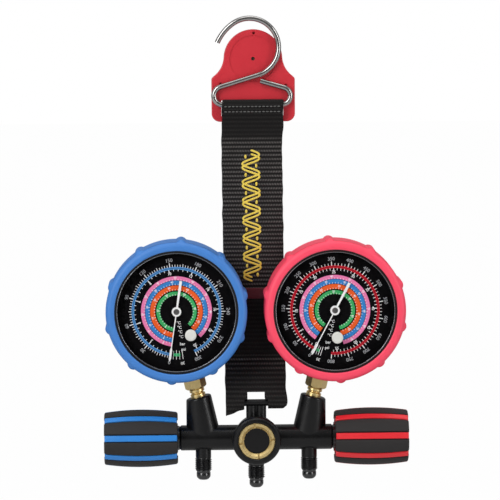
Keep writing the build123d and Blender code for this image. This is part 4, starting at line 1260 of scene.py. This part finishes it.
def make_camera():
    """A long lens 1.9 m away, a little above the gauges and rolled a hair."""
    azimuth, elevation, roll = math.radians(-1.3), math.radians(5.4), math.radians(0.4)
    distance, pixels_per_mm, picture = 1900.0, 1.529, 500
    level = math.cos(elevation)
    back = Vector((math.sin(azimuth) * level, -math.cos(azimuth) * level, math.sin(elevation)))
    right = Vector((math.cos(azimuth), math.sin(azimuth), 0))
    up = back.cross(right)
    right, up = right * math.cos(roll) - up * math.sin(roll), right * math.sin(roll) + up * math.cos(roll)
    target = Vector((-3.222, -0.049, 123.711))
    data = bpy.data.cameras.new("camera")
    data.sensor_width = 36.0
    data.lens = data.sensor_width * distance * pixels_per_mm / picture
    camera = linked("camera", data)
    turn = Matrix((right, up, back)).transposed().to_4x4()
    camera.matrix_world = Matrix.Translation(BAR_FRAME @ (target + back * distance)) @ turn
    bpy.context.scene.camera = camera


# ---- operators ----


class MANIFOLD_OT_stage(bpy.types.Operator):
    """Make the floor, the light and the camera"""

    bl_idname = "manifold.stage"
    bl_label = "Stage"

    def execute(self, context):
        stage = context.scene.manifold_set.stage
        context.scene.view_settings.view_transform = "Standard"
        make_floor(stage.drop)
        make_sky(stage.sky)
        make_lamps()
        make_camera()
        return {"FINISHED"}


class MANIFOLD_OT_finishes(bpy.types.Operator):
    """Make every finish and put each on the solid pieces that take it"""

    bl_idname = "manifold.finishes"
    bl_label = "Finishes"

    def execute(self, context):
        FINISHES.update(make_finishes())
        for node in frame["nodes"].values():
            for index, held in enumerate(node.data.materials):
                node.data.materials[index] = FINISHES[held.name.split(".")[0]]
        return {"FINISHED"}


class MANIFOLD_OT_strap(bpy.types.Operator):
    """Weave the strap, its stitches, its motif and its pull tab"""

    bl_idname = "manifold.strap"
    bl_label = "Strap"

    def execute(self, context):
        make_strap()
        make_tab()
        return {"FINISHED"}


class MANIFOLD_OT_gauges(bpy.types.Operator):
    """Make the boots and bezels and print the dials"""

    bl_idname = "manifold.gauges"
    bl_label = "Gauges"

    def execute(self, context):
        for name in SIDES:
            make_boot(name)
            make_bezel(name)
            make_print(name)
        return {"FINISHED"}


class MANIFOLD_OT_valves(bpy.types.Operator):
    """Make the knobs and the threaded ports"""

    bl_idname = "manifold.valves"
    bl_label = "Valves and ports"

    def execute(self, context):
        for name in SIDES:
            make_knob(name)
        make_ports()
        return {"FINISHED"}


OPERATORS = [
    MANIFOLD_OT_stage,
    MANIFOLD_OT_finishes,
    MANIFOLD_OT_strap,
    MANIFOLD_OT_gauges,
    MANIFOLD_OT_valves,
]


class MANIFOLD_PT_build(bpy.types.Panel):
    """The sizes and colours of the manifold, and a button for each group of pieces"""

    bl_idname = "MANIFOLD_PT_build"
    bl_label = "Manifold"
    bl_space_type = "VIEW_3D"
    bl_region_type = "UI"
    bl_category = "Manifold"

    def draw(self, context):
        held = context.scene.manifold_set
        for group in ("boot", "strap", "dial", "knob", "port", "colours", "stage"):
            box = self.layout.box()
            box.label(text=group.capitalize())
            for key in own_keys(getattr(held, group)):
                box.prop(getattr(held, group), key)
        for operator in OPERATORS:
            self.layout.operator(operator.bl_idname)


CLASSES = [
    BootSizes,
    StrapSizes,
    DialSizes,
    KnobSizes,
    PortSizes,
    Colours,
    StageSizes,
    ManifoldSet,
    *OPERATORS,
    MANIFOLD_PT_build,
]


def register():
    for kind in CLASSES:
        bpy.utils.register_class(kind)
    bpy.types.Scene.manifold_set = PointerProperty(type=ManifoldSet)


def unregister():
    del bpy.types.Scene.manifold_set
    for kind in reversed(CLASSES):
        bpy.utils.unregister_class(kind)


def main():
    register()
    for operator in OPERATORS:
        group, action = operator.bl_idname.split(".")
        getattr(getattr(bpy.ops, group), action)()


if __name__ == "__main__":
    main()
